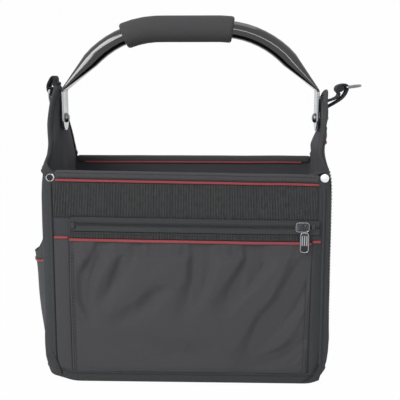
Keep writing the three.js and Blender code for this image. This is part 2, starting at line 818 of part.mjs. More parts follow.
function makeEndPockets() {
  const leftMouth = (t) => leftPocketMouth - leftPocketSag * (1 - t * t);
  const leftStand = (t, z) => {
    const share = (z - leftPocketBottom) / (leftMouth(t) - leftPocketBottom);
    return leftPocketBulge * (1 - t * t) * Math.max(share, 0) ** 0.3;
  };
  makeEndPocket(
    'left', true, leftStand, () => leftPocketHalf, leftPocketBottom,
    (t) => leftMouth(t) - endBandHeight, leftMouth);

  const rightMouth = (t) => rightPocketMouth - rightPocketSag * (1 - t * t);
  const rightStand = (t) => rightPocketBulge * (1 - t * t);
  const rightHalf = (z) => Math.min(rightPocketHalf, gableHalf(z) - rightPocketInset);
  makeEndPocket(
    'right', false, rightStand, rightHalf, leftPocketBottom, () => rightPiping, rightMouth);
}

// Two-headed rivet through the rim's front corners
function makeRivets() {
  const cap = rivetDiameter / 2;
  const shank = rivetShank / 2;
  const reach = wall + 2 * fit;
  const profile = [
    [0, -rivetCap], [cap * 0.55, -rivetCap], [cap * 0.85, -rivetCap * 0.7],
    [cap, -rivetCap * 0.25], [cap, 0], [shank, 0], [shank, reach],
    [rivetInner / 2, reach], [rivetInner / 2, reach + rivetCap * 0.35],
    [rivetInner / 4, reach + rivetCap * 0.6],
    [0, reach + rivetCap * 0.6],
  ];
  for (const [name, side] of [['left', -1], ['right', 1]]) {
    const rivet = turned(profile).translate(side * rivetX, -halfDepth - fit, rivetHeight);
    add(`rivet_${name}`, rivet, 'brightMetal');
  }
}

// Middle line of the handle by distance from its crest, positive to the right
const bendLength = handleRadius * legAngle;
const bendEndX = handleStraight / 2 + handleRadius * Math.sin(legAngle);
const bendEndZ = handleTop - handleRadius * (1 - Math.cos(legAngle));
const kinkRun = kinkRadius * (1 - Math.sin(legAngle));
const legLength = (stripX - kinkRun - bendEndX) / Math.cos(legAngle);
const legEndZ = bendEndZ - legLength * Math.sin(legAngle);
const kinkLength = kinkRadius * (Math.PI / 2 - legAngle);
const kinkEndZ = legEndZ - kinkRadius * Math.cos(legAngle);
const flatWidth = flatThickness + (Math.PI * (tubeDiameter - flatThickness)) / 2;
const tipRadius = flatWidth / 2 + 0.05;
const stations = [handleStraight / 2, bendLength, legLength, kinkLength]
  .reduce((sums, length) => [...sums, sums.at(-1) + length], [0]);
const handleHalfLength = stations[4] + kinkEndZ - pivotHeight + tipRadius;

function handleStation(distance) {
  const s = Math.abs(distance);
  const side = distance < 0 ? -1 : 1;
  const [, bend, leg, kink, strip] = stations;
  let x = s;
  let z = handleTop;
  let turn = 0;
  if (s > strip) {
    turn = Math.PI / 2;
    x = stripX;
    z = kinkEndZ - (s - strip);
  } else if (s > kink) {
    turn = legAngle + (s - kink) / kinkRadius;
    x = stripX - kinkRadius * (1 - Math.sin(turn));
    z = kinkEndZ + kinkRadius * Math.cos(turn);
  } else if (s > leg) {
    turn = legAngle;
    x = bendEndX + (s - leg) * Math.cos(legAngle);
    z = bendEndZ - (s - leg) * Math.sin(legAngle);
  } else if (s > bend) {
    turn = (s - bend) / handleRadius;
    x = handleStraight / 2 + handleRadius * Math.sin(turn);
    z = handleTop - handleRadius * (1 - Math.cos(turn));
  }
  return { middle: new THREE.Vector3(side * x, 0, z), turn: side * turn };
}

// A ring square to the handle: half thickness in the arch's plane, half width along Y
function handleRing(distance, halfThick, halfWide, sides = 18) {
  const { middle, turn } = handleStation(distance);
  const outward = new THREE.Vector3(Math.sin(turn), 0, Math.cos(turn));
  const ring = [];
  for (let k = 0; k < sides; k += 1) {
    const angle = ((k + 0.5) / sides) * Math.PI * 2;
    const along = Math.sign(Math.cos(angle)) * (halfWide - halfThick);
    const corner = middle.clone().addScaledVector(outward, halfThick * Math.sin(angle));
    corner.y += halfThick * Math.cos(angle) + along;
    ring.push(corner);
  }
  return ring;
}

// The tube keeps its girth while it is pressed flat towards each end
function tubeThickness(distance) {
  const s = Math.abs(distance);
  const from = stations[3] - flattenLength;
  const share = THREE.MathUtils.clamp((s - from) / flattenLength, 0, 1);
  return THREE.MathUtils.lerp(tubeDiameter, flatThickness, share);
}

function makeHandle() {
  const places = new Set();
  const mark = (from, to, steps) => {
    for (let i = 0; i <= steps; i += 1) {
      places.add(THREE.MathUtils.lerp(from, to, i / steps));
    }
  };
  const flatStart = stations[3] - flattenLength;
  mark(stations[1], stations[2], 9);
  mark(Math.max(flatStart, stations[2] + 1), stations[3], 6);
  mark(stations[3], stations[4], 3);
  const half = [...places].toSorted((a, b) => a - b);
  const skin = (inset, beyond) => {
    const ends = [...half, handleHalfLength + beyond];
    const all = [...ends.toReversed().map((s) => -s), ...ends];
    return solid(loft(all.map((s) => {
      const thick = tubeThickness(s);
      const wide = thick + (Math.PI * (tubeDiameter - thick)) / 2;
      return handleRing(s, thick / 2 - inset, wide / 2 - inset);
    })));
  };
  const hollow = skin(0, 0).subtract(skin(tubeWall, 4));

  // Each end is rounded about its bolt hole
  const keep = new THREE.Shape();
  keep.moveTo(tipRadius, pivotHeight);
  keep.lineTo(tipRadius, handleTop + tubeDiameter);
  keep.lineTo(-tipRadius, handleTop + tubeDiameter);
  keep.lineTo(-tipRadius, pivotHeight);
  keep.absarc(0, pivotHeight, tipRadius, Math.PI, Math.PI * 2);
  const rounded = hollow.intersect(solid(stripAlongX(keep, -halfWidth, halfWidth, 14)));
  const holeRadius = boltDiameter / 2 + boltClearance;
  const hole = new THREE.CylinderGeometry(holeRadius, holeRadius, bodyWidth * 1.1, 16);
  hole.rotateZ(Math.PI / 2).translate(0, 0, pivotHeight);
  add('handle_tube', surface(rounded.subtract(solid(hole))), 'paintedSteel');

  // Foam grip, a little left of the crest, with softened ends
  const from = gripShift - gripLength / 2;
  const to = gripShift + gripLength / 2;
  const gripRings = (radius, soft, beyond) => {
    const list = [[from - beyond, radius - soft], [from + soft, radius]];
    for (let i = 1; i < 10; i += 1) {
      list.push([THREE.MathUtils.lerp(from + soft, to - soft, i / 10), radius]);
    }
    list.push([to - soft, radius], [to + beyond, radius - soft]);
    return solid(loft(list.map(([s, r]) => handleRing(s, r, r))));
  };
  const bore = gripRings(tubeDiameter / 2 + gripFit, 0, 3);
  add('handle_grip', surface(gripRings(gripDiameter / 2, 2, 0).subtract(bore)), 'foam');
}

// Bolt from inside, washer and nut outside, on each end of the handle, and a spacer that holds
// the handle's end clear of the tape on the raised end
function makeBolts() {
  const radius = boltDiameter / 2;
  const head = boltHeadDiameter / 2;
  const underHead = stripX - flatThickness / 2 - fit;
  const washerIn = halfWidth + fit;
  const nutIn = washerIn + washerThickness + fit;
  const end = nutIn + nutHeight + 1.2;
  const bolt = turned([
    [0, underHead - boltHeadHeight], [head * 0.45, underHead - boltHeadHeight],
    [head * 0.85, underHead - boltHeadHeight * 0.6], [head, underHead - boltHeadHeight * 0.15],
    [head, underHead], [radius, underHead], [radius, end - 0.8], [radius - 0.8, end], [0, end],
  ]);
  const bore = radius + fit;
  const washer = turned([
    [bore, washerIn], [washerDiameter / 2, washerIn],
    [washerDiameter / 2, washerIn + washerThickness * 0.7],
    [washerDiameter / 2 - 0.5, washerIn + washerThickness],
    [bore, washerIn + washerThickness], [bore, washerIn],
  ]);
  const spacer = turned([
    [bore, spacerX], [spacerDiameter / 2, spacerX],
    [spacerDiameter / 2, spacerX + spacerThickness],
    [bore, spacerX + spacerThickness], [bore, spacerX],
  ]);
  const nutCorner = nutAcross / Math.sqrt(3);
  const hexagon = new THREE.CylinderGeometry(nutCorner, nutCorner, nutHeight, 6);
  hexagon.translate(0, nutIn + nutHeight / 2, 0);
  const drill = new THREE.CylinderGeometry(bore, bore, nutHeight * 3, 16).translate(0, nutIn, 0);
  const nut = surface(solid(hexagon).subtract(solid(drill)));
  const kinds = [['bolt', bolt], ['washer', washer], ['spacer', spacer], ['nut', nut]];
  for (const [kind, geometry] of kinds) {
    const right = lieAlongX(geometry, 0, 0, pivotHeight);
    add(`handle_${kind}_right`, right, 'brightMetal');
    add(`handle_${kind}_left`, mirrored(right), 'brightMetal');
  }
}

// A webbing loop: a ribbon that follows points in X and Z, beside the right end
function makeLoop(points) {
  const curve = new THREE.CatmullRomCurve3(points.map(([x, z]) => new THREE.Vector3(x, z, 0)));
  const steps = 44;
  const near = [];
  const far = [];
  for (let i = 0; i <= steps; i += 1) {
    const at = curve.getPointAt(i / steps);
    const along = curve.getTangentAt(i / steps);
    const normal = new THREE.Vector2(-along.y, along.x).multiplyScalar(webbing / 2);
    near.push([at.x + normal.x, at.y + normal.y]);
    far.push([at.x - normal.x, at.y - normal.y]);
  }
  const band = plateAlongY(polygon([...near, ...far.toReversed()]), -webbingWidth / 2, webbingWidth / 2);
  return { band, curve };
}

// Closed wire: a straight bar in the webbing and a round bow
function makeRing(barX, barZ, angle) {
  const outline = [];
  const arc = (cx, cy, radius, from, to, steps) => {
    for (let i = 0; i <= steps; i += 1) {
      const a = THREE.MathUtils.lerp(from, to, i / steps);
      outline.push([cx + radius * Math.cos(a), cy + radius * Math.sin(a)]);
    }
  };
  arc(ringCorner, ringCorner - ringHalf, ringCorner, Math.PI, Math.PI * 1.5, 3);
  arc(ringSide, 0, ringHalf, -Math.PI / 2, Math.PI / 2, 12);
  arc(ringCorner, ringHalf - ringCorner, ringCorner, Math.PI / 2, Math.PI, 3);
  const out = new THREE.Vector3(Math.cos(angle), 0, Math.sin(angle));
  const up = new THREE.Vector3(-Math.sin(angle), 0, Math.cos(angle));
  const centre = new THREE.Vector3(barX, 0, barZ);
  const rings = outline.map(([d, y], i) => {
    const [d0, y0] = outline[(i + outline.length - 1) % outline.length];
    const [d1, y1] = outline[(i + 1) % outline.length];
    const along = new THREE.Vector2(d1 - d0, y1 - y0).normalize();
    const ring = [];
    for (let k = 0; k < 8; k += 1) {
      const a = (k / 8) * Math.PI * 2;
      const side = (Math.cos(a) * ringWire) / 2;
      const point = centre.clone().addScaledVector(out, d + along.y * side);
      point.y += y - along.x * side;
      point.addScaledVector(up, (Math.sin(a) * ringWire) / 2);
      ring.push(point);
    }
    return ring;
  });
  return loft(rings, null, true);
}

// Where a ring's bar lies against the inside of its loop
function barPlace(curve, share, side) {
  const at = curve.getPointAt(share);
  const along = curve.getTangentAt(share);
  const distance = side * (webbing / 2 + ringWire / 2 + fit);
  return [at.x - along.y * distance, at.y + along.x * distance];
}

function makeTabs() {
  const off = fit + webbing / 2;
  const onFace = (z) => [halfWidth + lean(z) + off, z];
  const sewn = pivotHeight + washerDiameter / 2 + loopSeam;

  // Right loop stands out from the end and holds its ring level
  const out = (reach, rise) => [halfWidth + rightLoopReach * reach, sewn + rightLoopRise * rise];
  const right = makeLoop([
    onFace(sewn), out(0.127, 0.04), out(0.375, 0.168), out(0.629, 0.312), out(0.829, 0.471),
    out(0.946, 0.662), out(0.987, 0.812), out(0.905, 0.921), out(0.73, 0.91), out(0.56, 0.83),
    out(0.537, 0.7), out(0.644, 0.6), out(0.625, 0.488), out(0.476, 0.391), out(0.27, 0.324),
    onFace(sewn + rightLoopRise * 0.25),
  ]);
  add('ring_loop_right', right.band, 'webbing');
  const [rightX, rightZ] = barPlace(right.curve, 0.47, 1);
  add('d_ring_right', makeRing(rightX, rightZ, ringTilt), 'brightMetal');

  // Left loop stands up over the end's top edge and its ring hangs down
  const crest = gableTop + edgeTape + 2 * fit;
  const over = (reach, rise) => [halfWidth + leftLoopReach * reach, sewn + leftLoopRise * rise];
  const left = makeLoop([
    onFace(sewn), onFace(sewn + leftLoopRise * 0.192), over(0.306, 0.348), over(0.7, 0.436),
    over(0.96, 0.556), over(1, 0.707), over(0.8, 0.854), over(0.565, 0.964), over(0.347, 1),
    over(0.225, 0.93), [halfWidth + lean(gableTop) - (edgeTapeLeg + edgeTape) * 0.2, crest],
  ]);
  add('ring_loop_left', mirrored(left.band), 'webbing');
  const [leftX, leftZ] = barPlace(left.curve, 0.475, 1);
  add('d_ring_left', mirrored(makeRing(leftX, leftZ, -Math.PI / 2)), 'brightMetal');
}

makeBase();
makePanels();
makeGables();
makeEdgeTapes();
makeWelts();
makeRim();
makeZip();
makeSlider();
makePull();
makeFrontPocket();
makeEndPockets();
makeRivets();
makeHandle();
makeBolts();
makeTabs();

export default bag;
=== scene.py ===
"""Zippered tool bag: cloth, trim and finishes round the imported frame.

Shapes are worked out in millimetres and turned into metres when a piece is made.
"""

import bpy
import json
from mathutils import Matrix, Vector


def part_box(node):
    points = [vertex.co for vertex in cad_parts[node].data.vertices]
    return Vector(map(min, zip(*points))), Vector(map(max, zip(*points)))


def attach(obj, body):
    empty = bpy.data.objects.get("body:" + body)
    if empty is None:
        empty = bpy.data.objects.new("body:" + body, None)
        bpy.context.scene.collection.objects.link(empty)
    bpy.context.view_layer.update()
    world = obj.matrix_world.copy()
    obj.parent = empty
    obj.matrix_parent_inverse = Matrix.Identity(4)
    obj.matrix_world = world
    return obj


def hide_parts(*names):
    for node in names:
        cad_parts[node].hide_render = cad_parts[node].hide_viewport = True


bl_info = {
    "name": "Zippered Tool Bag",
    "version": (1, 0, 0),
    "blender": (4, 5, 0),
    "location": "View3D > Sidebar > Tool Bag",
    "description": "Builds an open-top tool bag with a zip pocket and a tube handle",
    "category": "Object",
}

import json
import math
import random

import bpy
import numpy as np
from mathutils import Matrix, Vector, noise

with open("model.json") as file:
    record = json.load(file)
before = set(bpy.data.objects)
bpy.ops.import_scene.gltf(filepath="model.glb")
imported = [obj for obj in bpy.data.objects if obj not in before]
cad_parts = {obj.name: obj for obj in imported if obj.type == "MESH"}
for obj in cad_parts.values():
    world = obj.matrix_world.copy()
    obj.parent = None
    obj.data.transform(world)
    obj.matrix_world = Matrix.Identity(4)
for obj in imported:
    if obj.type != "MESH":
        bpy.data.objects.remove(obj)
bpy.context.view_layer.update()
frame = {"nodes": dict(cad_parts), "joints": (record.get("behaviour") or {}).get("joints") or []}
MM = 0.001


def span(node):
    """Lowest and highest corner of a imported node, in millimetres."""
    low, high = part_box(node)
    return [value / MM for value in low], [value / MM for value in high]


# Places that every piece is worked out from, read from the frame: the base, the walls' rim and
# thickness, the corner seams, the raised ends' crest and lean, and the handle's pivot
HALF_WIDTH, HALF_DEPTH, TRAY_TOP = span("base_tray")[1]
RIM = span("front_panel")[1][2]
WALL = span("front_panel")[1][1] - span("front_panel")[0][1]
SEAM_X = (span("front_panel")[1][0] + span("gable_right")[0][0]) / 2
CREST = span("gable_right")[1][2]
LEAN = span("gable_right")[1][0] - HALF_WIDTH
PIVOT = (span("handle_bolt_right")[0][2] + span("handle_bolt_right")[1][2]) / 2

# Plan radius of the walls' corners, and of the base tray's, which stands a little clear of them
WALL_RADIUS = 7
TRAY_RADIUS = 9
TRAY_CLEAR = 0.4

# A raised end leaves the rim at its corner, passes its shoulder (half depth, height) and leans out
# above a height; its wall is thin where the binding holds it
CORNER_TOP = RIM + 9
CORNER_RUN = 5
SHOULDER = (78, CORNER_TOP + 21)
LEAN_START = CREST - 30
EDGE_WALL = 1.9

# How far above the pivot the handle's bare flattened ends reach
STRIP_REACH = 33

# Angles over a cord's outer half, from its lower edge to its upper
HALF_ROUND = [math.radians(angle) for angle in range(-90, 91, 30)]

# Points closer than this, in metres, are one point; edges sharper than this, in degrees, stay hard
SAME_PLACE = 1e-6
HARD_EDGE = 38


# Sizes and colours that a user would change

def length(name, text, default):
    """A length property in metres."""
    return bpy.props.FloatProperty(name=name, description=text, default=default, unit="LENGTH")


def colour(name, text, default):
    """A colour property, in linear light."""
    return bpy.props.FloatVectorProperty(
        name=name, description=text, default=default, subtype="COLOR", size=3, min=0, max=1)


class BagSizes(bpy.types.PropertyGroup):
    """Sizes of the cloth's form, its folds and its stitches."""
    rim_drop: length("Rim drop", "How far the front rim drops at its right end", 0.0026)
    wall_swell: length("Wall swell", "How far the front and back swell between base and rim", 0.0022)
    foot_lean: length("Foot lean", "How far the front stands forward at its foot", 0.003)
    crest_drop: length("Crest drop", "How far the right end's crest has sunk", 0.0075)
    corner_lift: length("Corner lift", "How far the base's corners lift off the floor", 0.0052)
    crease_depth: length("Crease depth", "Depth of the creases in the end and back walls", 0.0022)
    fold_depth: length("Fold depth", "Depth of the folds in the zip pocket's face", 0.0094)
    rib_pitch: length("Rib pitch", "Distance between the ribs of the webbing band", 0.0019)
    rib_height: length("Rib height", "Height of the ribs of the webbing band", 0.0008)
    stitch_length: length("Stitch length", "Length of one stitch", 0.0029)
    stitch_gap: length("Stitch gap", "Gap between two stitches", 0.0013)
    stitch_thick: length("Stitch thickness", "Thickness of the thread", 0.0007)
    tooth_pitch: length("Tooth pitch", "Distance between two zip teeth", 0.0016)
    thread_pitch: length("Thread pitch", "Distance between the cloth's threads", 0.0009)


class BagColours(bpy.types.PropertyGroup):
    """Colours of the cloths and finishes."""
    canvas: colour("Canvas", "Walls and end pockets", (0.058, 0.060, 0.066))
    facing: colour("Facing", "Zip pocket, facings and hems", (0.071, 0.071, 0.0755))
    ribbed: colour("Ribbed webbing", "Band under the rim", (0.040, 0.041, 0.042))
    # The tape tone also darkens the right facing, as painted shade
    tape: colour("Binding tape", "Bindings, zip tape and base", (0.052, 0.054, 0.055))
    lining: colour("Lining", "Inside of the walls", (0.070, 0.071, 0.078))
    red: colour("Piping", "Red piping", (0.40, 0.080, 0.090))
    webbing: colour("Loop webbing", "Loops that hold the rings", (0.030, 0.032, 0.038))
    # The thread tone also serves as painted shade: the left rivet's dish, the zip pull's sunk tip and the
    # corner folds' welts
    thread: colour("Thread", "Stitches", (0.030, 0.031, 0.032))
    foam: colour("Foam", "Grip", (0.067, 0.067, 0.069))
    enamel: colour("Enamel", "Handle tube", (0.006, 0.006, 0.007))
    zip_metal: colour("Zip metal", "Slider and pull", (0.075, 0.077, 0.083))
    # Steel also brightens the slider's and pull's rims and ridges as painted highlight
    steel: colour("Steel", "Tube ends, bolts and rings", (0.45, 0.46, 0.48))
    # Dark steel on the right ring is painted shade; on the bolt heads it is their own colour
    dark_steel: colour("Dark steel", "Bolt heads and the right ring", (0.20, 0.203, 0.21))
    nickel: colour("Nickel", "Rivets", (0.86, 0.87, 0.88))


def sizes():
    """The scene's bag sizes, in millimetres, by name."""
    group = bpy.context.scene.tool_bag_sizes
    return {name: getattr(group, name) / MM for name in BagSizes.__annotations__}


# Outline and settling of the cloth

def circle(count):
    """Angles evenly spaced round a full turn."""
    return [2 * math.pi * k / count for k in range(count)]


def smooth(low, high, value):
    """Smooth step from 0 at low to 1 at high."""
    share = np.clip((value - low) / (high - low), 0.0, 1.0)
    return share * share * (3 - 2 * share)


def bezier(a, b, c, d, steps):
    """Points along a cubic curve."""
    a, b, c, d = (np.array(point, float) for point in (a, b, c, d))
    t = np.linspace(0, 1, steps)[:, None]
    return a * (1 - t) ** 3 + 3 * b * t * (1 - t) ** 2 + 3 * c * t * t * (1 - t) + d * t ** 3


def gable_outline():
    """Half depth and height of a raised end's outline, from corner to crest."""
    start = (HALF_DEPTH - CORNER_RUN, CORNER_TOP)
    half, height = SHOULDER
    rise_steps, dome_steps = 8, 22
    rise = bezier(start, (start[0] - 4, start[1] + 8), (half + 4, height - 11), SHOULDER, rise_steps)
    bow = height + (CREST - height) * 0.39
    dome = bezier(SHOULDER, (half * 0.72, bow), (half * 0.4, CREST), (0, CREST), dome_steps)
    return np.vstack([rise, dome[1:]])


OUTLINE = gable_outline()


def gable_top(y):
    """Height of a raised end's edge at a distance from its middle."""
    return np.interp(np.abs(y), OUTLINE[::-1, 0], OUTLINE[::-1, 1])


def gable_half(z):
    """Half depth of a raised end at a height."""
    return np.interp(z, OUTLINE[:, 1], OUTLINE[:, 0])


def lean(z):
    """How far a raised end leans outwards at a height."""
    return LEAN * np.clip((z - LEAN_START) / (CREST - LEAN_START), 0, None) ** 2


def route_gap(u, v, route):
    """Distance from points to a route of straight stretches, and the share of it that lies before."""
    route = np.array(route, float)
    best = np.full(np.shape(u), np.inf)
    place = np.zeros(np.shape(u))
    for k, (a, b) in enumerate(zip(route[:-1], route[1:])):
        along = b - a
        share = np.clip(((u - a[0]) * along[0] + (v - a[1]) * along[1]) / (along @ along), 0, 1)
        gap = np.hypot(u - a[0] - share * along[0], v - a[1] - share * along[1])
        nearer = gap < best
        best = np.where(nearer, gap, best)
        place = np.where(nearer, (k + share) / (len(route) - 1), place)
    return best, place


# How the ends have settled, at their front and back edges and in their middle: from the floor to
# the crest, each height and how far outwards the cloth lies there
SETTLED_EDGES = {
    "left": {
        "front": [
            (0, -1), (6, 1.2), (13, 3.6), (20, 5.4), (30, 6.2), (45, 6.6), (200, 5), (235, 4.5),
            (250, 3.8), (265, 2), (273, -0.8), (284, -2.6), (296, -3.2), (310, -0.2), (322, 1.8),
            (342, 2.2), (355, 0.5), (CREST, -2.5),
        ],
        "back": [
            (0, -4), (45, 3), (250, 2), (280, 0), (293, 0.6), (305, 1.3), (322, 3.2), (343, 5),
            (CREST, -2.5),
        ],
        "middle": [(0, 0), (CREST, 0)],
    },
    "right": {
        "front": [
            (0, -10), (3, -7), (8, -3.6), (16, 0.2), (26, 1.6), (40, 3), (60, 3.8), (103, 2.6),
            (240, 1.4), (252, 0.4), (266, -2.6), (271, -5), (279, -9.3), (284, -11.5), (293, -9.7),
            (313, -4.8), (334, 0.2), (CREST, 0),
        ],
        "back": [
            (0, -6), (57, 2), (250, 1), (269, 2), (282, 4.2), (292, 5), (300, 7.5), (313, 10.5),
            (330, 10.5), (CREST, 0),
        ],
        "middle": [
            (0, 0), (262, 0), (275, -3), (286, -4.8), (296, -2.6), (304, 0), (CREST, 0),
        ],
    },
}
CORNER_LINE = np.vstack([[(HALF_DEPTH, 0), (HALF_DEPTH - 1, RIM)], OUTLINE])


def edge_shift(x, y, z):
    """How far an end's cloth has moved outwards, at its edges and in its middle."""
    edge_near, edge_far, crest_from, crest_to = 3, 32, 12, 30
    near = 1 - smooth(edge_near, edge_far, route_gap(np.abs(y), z, CORNER_LINE)[0])
    shift = np.zeros_like(x)
    for sign, name in ((-1, "left"), (1, "right")):
        edges = {
            face: np.interp(z, *np.transpose(route)) for face, route in SETTLED_EDGES[name].items()}
        crest = SETTLED_EDGES[name]["front"][-1][1]
        fore = smooth(-crest_from, -crest_to, y)
        aft = smooth(crest_from, crest_to, y)
        out = fore * edges["front"] + aft * edges["back"] + (1 - fore - aft) * crest
        out = near * out + (1 - near) * edges["middle"]
        shift += np.where(x * sign > 0, sign * out, 0.0)
    return shift


# Where each kind of unevenness starts in the noise
SEEDS = {"walls": 3.0, "rim": 9.0, "folds": 21.0, "hollows": 31.0, "pocket": 41.0, "facing": 51.0}


def wander(points, scale, kind):
    """Smooth noise between -1 and 1 at each point, of a size in millimetres."""
    start = Vector((SEEDS[kind], 0, 0))
    return np.array([noise.noise(Vector(p) / scale + start) for p in points])


def settled(points):
    """Moves points of the upright bag to where the standing cloth lies."""
    size = sizes()
    shape = np.shape(points)
    p = np.array(points, float).reshape(-1, 3)
    x, y, z = p.T.copy()

    # How far each point belongs to the front, the back and the ends, and lies below the rim
    wall_from, wall_full = 70, 96
    front = smooth(-wall_from, -wall_full, y)
    back = smooth(wall_from, wall_full, y)
    end = smooth(HALF_WIDTH - 7, HALF_WIDTH - 1.5, np.abs(x))
    up = np.clip(z / RIM, 0, 1)
    rim_only = 1 - smooth(RIM + 4, RIM + 26, z)

    # The front rim falls towards its right end
    p[:, 2] -= size["rim_drop"] * x / SEAM_X * up * front * rim_only

    # Front and back swell at mid height
    arch = np.sin(np.pi * np.clip(z / RIM, 0, 1))
    across = np.cos(np.pi * np.clip(x / (2 * HALF_WIDTH), -0.5, 0.5))
    p[:, 1] += size["wall_swell"] * arch * across * (back - front)

    # The ends' edges have each settled their own way, and the right crest has sunk
    raised = smooth(CORNER_TOP, CORNER_TOP + 8, z)
    p[:, 0] += edge_shift(x, y, z) * np.maximum(end, raised)
    p[:, 2] -= size["crest_drop"] * smooth(LEAN_START, CREST, z) * (x > 0)

    # The front leans forward towards its foot
    p[:, 1] -= size["foot_lean"] * (1 - up) * front * smooth(0, 12, z)

    # The base's corners are drawn up and in, the left ones further
    left_reach, right_reach, left_share, inward = 36, 24, 1.3, 0.35
    drawn = np.where(x < 0, left_reach, right_reach)
    reach = smooth(HALF_WIDTH - drawn, HALF_WIDTH, np.abs(x)) * smooth(40, HALF_DEPTH, np.abs(y))
    low = 1 - smooth(6, 60, z)
    lift = size["corner_lift"] * np.where(x < 0, left_share, 1.0) * reach * low
    p[:, 2] += lift
    p[:, 1] -= np.sign(y) * inward * lift

    # A slow unevenness over the whole bag, none at the base
    slow_scale, slow_depth, ripple_scale, ripple_depth = 62, 0.7, 48, 0.5
    slow = wander(np.stack([x, y, z], 1), slow_scale, "walls")
    ripple = wander(np.stack([x, y * 0, z * 0], 1), ripple_scale, "rim")
    p[:, 1] += slow * slow_depth * (front + back) * smooth(8, 40, z) * rim_only
    p[:, 2] += ripple * ripple_depth * up * (front + back) * rim_only
    return p.reshape(shape)


# Mesh helpers

def new_piece(name, points, faces, finish, replaces=(), body="shell"):
    """Makes one piece from points in millimetres, and says what it rides on and stands for."""
    mesh = bpy.data.meshes.new(name)
    mesh.from_pydata((np.asarray(points, float) * MM).tolist(), [], faces)
    mesh.validate()
    for polygon in mesh.polygons:
        polygon.use_smooth = True
    obj = bpy.data.objects.new(name, mesh)
    bpy.context.scene.collection.objects.link(obj)
    for material in finish if isinstance(finish, (list, tuple)) else [finish]:
        mesh.materials.append(material)
    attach(obj, body)
    if replaces:
        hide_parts(*replaces)
    return obj


def unroll(obj, across, along):
    """Lays the mesh's loops out by two lengths at each point, in metres, for its weave."""
    layer = obj.data.uv_layers.new(name="weave")
    index = np.zeros(len(obj.data.loops), int)
    obj.data.loops.foreach_get("vertex_index", index)
    flat = np.stack([across[index], along[index]], 1).astype(np.float32) * MM
    layer.data.foreach_set("uv", flat.ravel())


def grid_lengths(grid, wrap):
    """Length across and along at each point of a grid, in millimetres; round a tube, both ways."""
    step = np.linalg.norm(np.diff(grid, axis=1), axis=2).mean(0)
    rise = np.linalg.norm(np.diff(grid, axis=0), axis=2).mean(1)
    across = np.concatenate([[0], np.cumsum(step)])
    along = np.concatenate([[0], np.cumsum(rise)])
    if wrap:
        across = np.minimum(across, across[-1] - across)
    return np.meshgrid(across, along)


def grid_piece(name, grid, finish, replaces=(), body="shell", wrap=False, caps=False):
    """A sheet, or with wrap a tube, through rows of points; caps close a tube's ends."""
    grid = np.asarray(grid, float)
    rows, cols = grid.shape[:2]
    faces = []
    for r in range(rows - 1):
        for c in range(cols if wrap else cols - 1):
            d = (c + 1) % cols
            faces.append((r * cols + c, r * cols + d, (r + 1) * cols + d, (r + 1) * cols + c))
    if caps:
        faces.append(tuple(range(cols))[::-1])
        faces.append(tuple((rows - 1) * cols + c for c in range(cols)))
    if wrap and enclosed(grid.reshape(-1, 3), faces) < 0:
        faces = [face[::-1] for face in faces]
    obj = new_piece(name, grid.reshape(-1, 3), faces, finish, replaces, body)
    across, along = grid_lengths(grid, wrap)
    unroll(obj, across.ravel(), along.ravel())
    return obj


def enclosed(points, faces):
    """Volume inside the faces, negative where they look inwards."""
    points = points - points.mean(0)
    total = 0.0
    for face in faces:
        first = points[face[0]]
        for a, b in zip(face[1:-1], face[2:]):
            total += first @ np.cross(points[a], points[b])
    return total


def thicken(obj, thickness, inner_finish=False):
    """Gives a sheet its thickness behind its face."""
    modifier = obj.modifiers.new("thickness", "SOLIDIFY")
    modifier.thickness = thickness * MM
    modifier.offset = -1
    modifier.use_even_offset = True
    if inner_finish:
        modifier.material_offset = 1
    return obj


def round_off(obj):
    """Rounds a piece by one level of subdivision."""
    modifier = obj.modifiers.new("rounding", "SUBSURF")
    modifier.levels = 1
    modifier.render_levels = 1
    return obj


def rounded_tube(name, rings, finish, replaces=()):
    """A closed tube through rings of points, rounded off."""
    return round_off(grid_piece(name, rings, finish, replaces, wrap=True, caps=True))


def front_bar(name, x0, x1, section, finish, replaces, side=-1, step=4.0):
    """A bar along the front, or with side 1 the back: a section of (out, height) from x0 to x1."""
    count = max(2, int(round((x1 - x0) / step)) + 1)
    rings = []
    for x in np.linspace(x0, x1, count):
        ring = section(x) if callable(section) else section
        rings.append([(x, side * out, z) for out, z in ring])
    rings = settled(rings)
    if side > 0:
        rings = rings[:, ::-1]
    return rounded_tube(name, rings, finish, replaces)


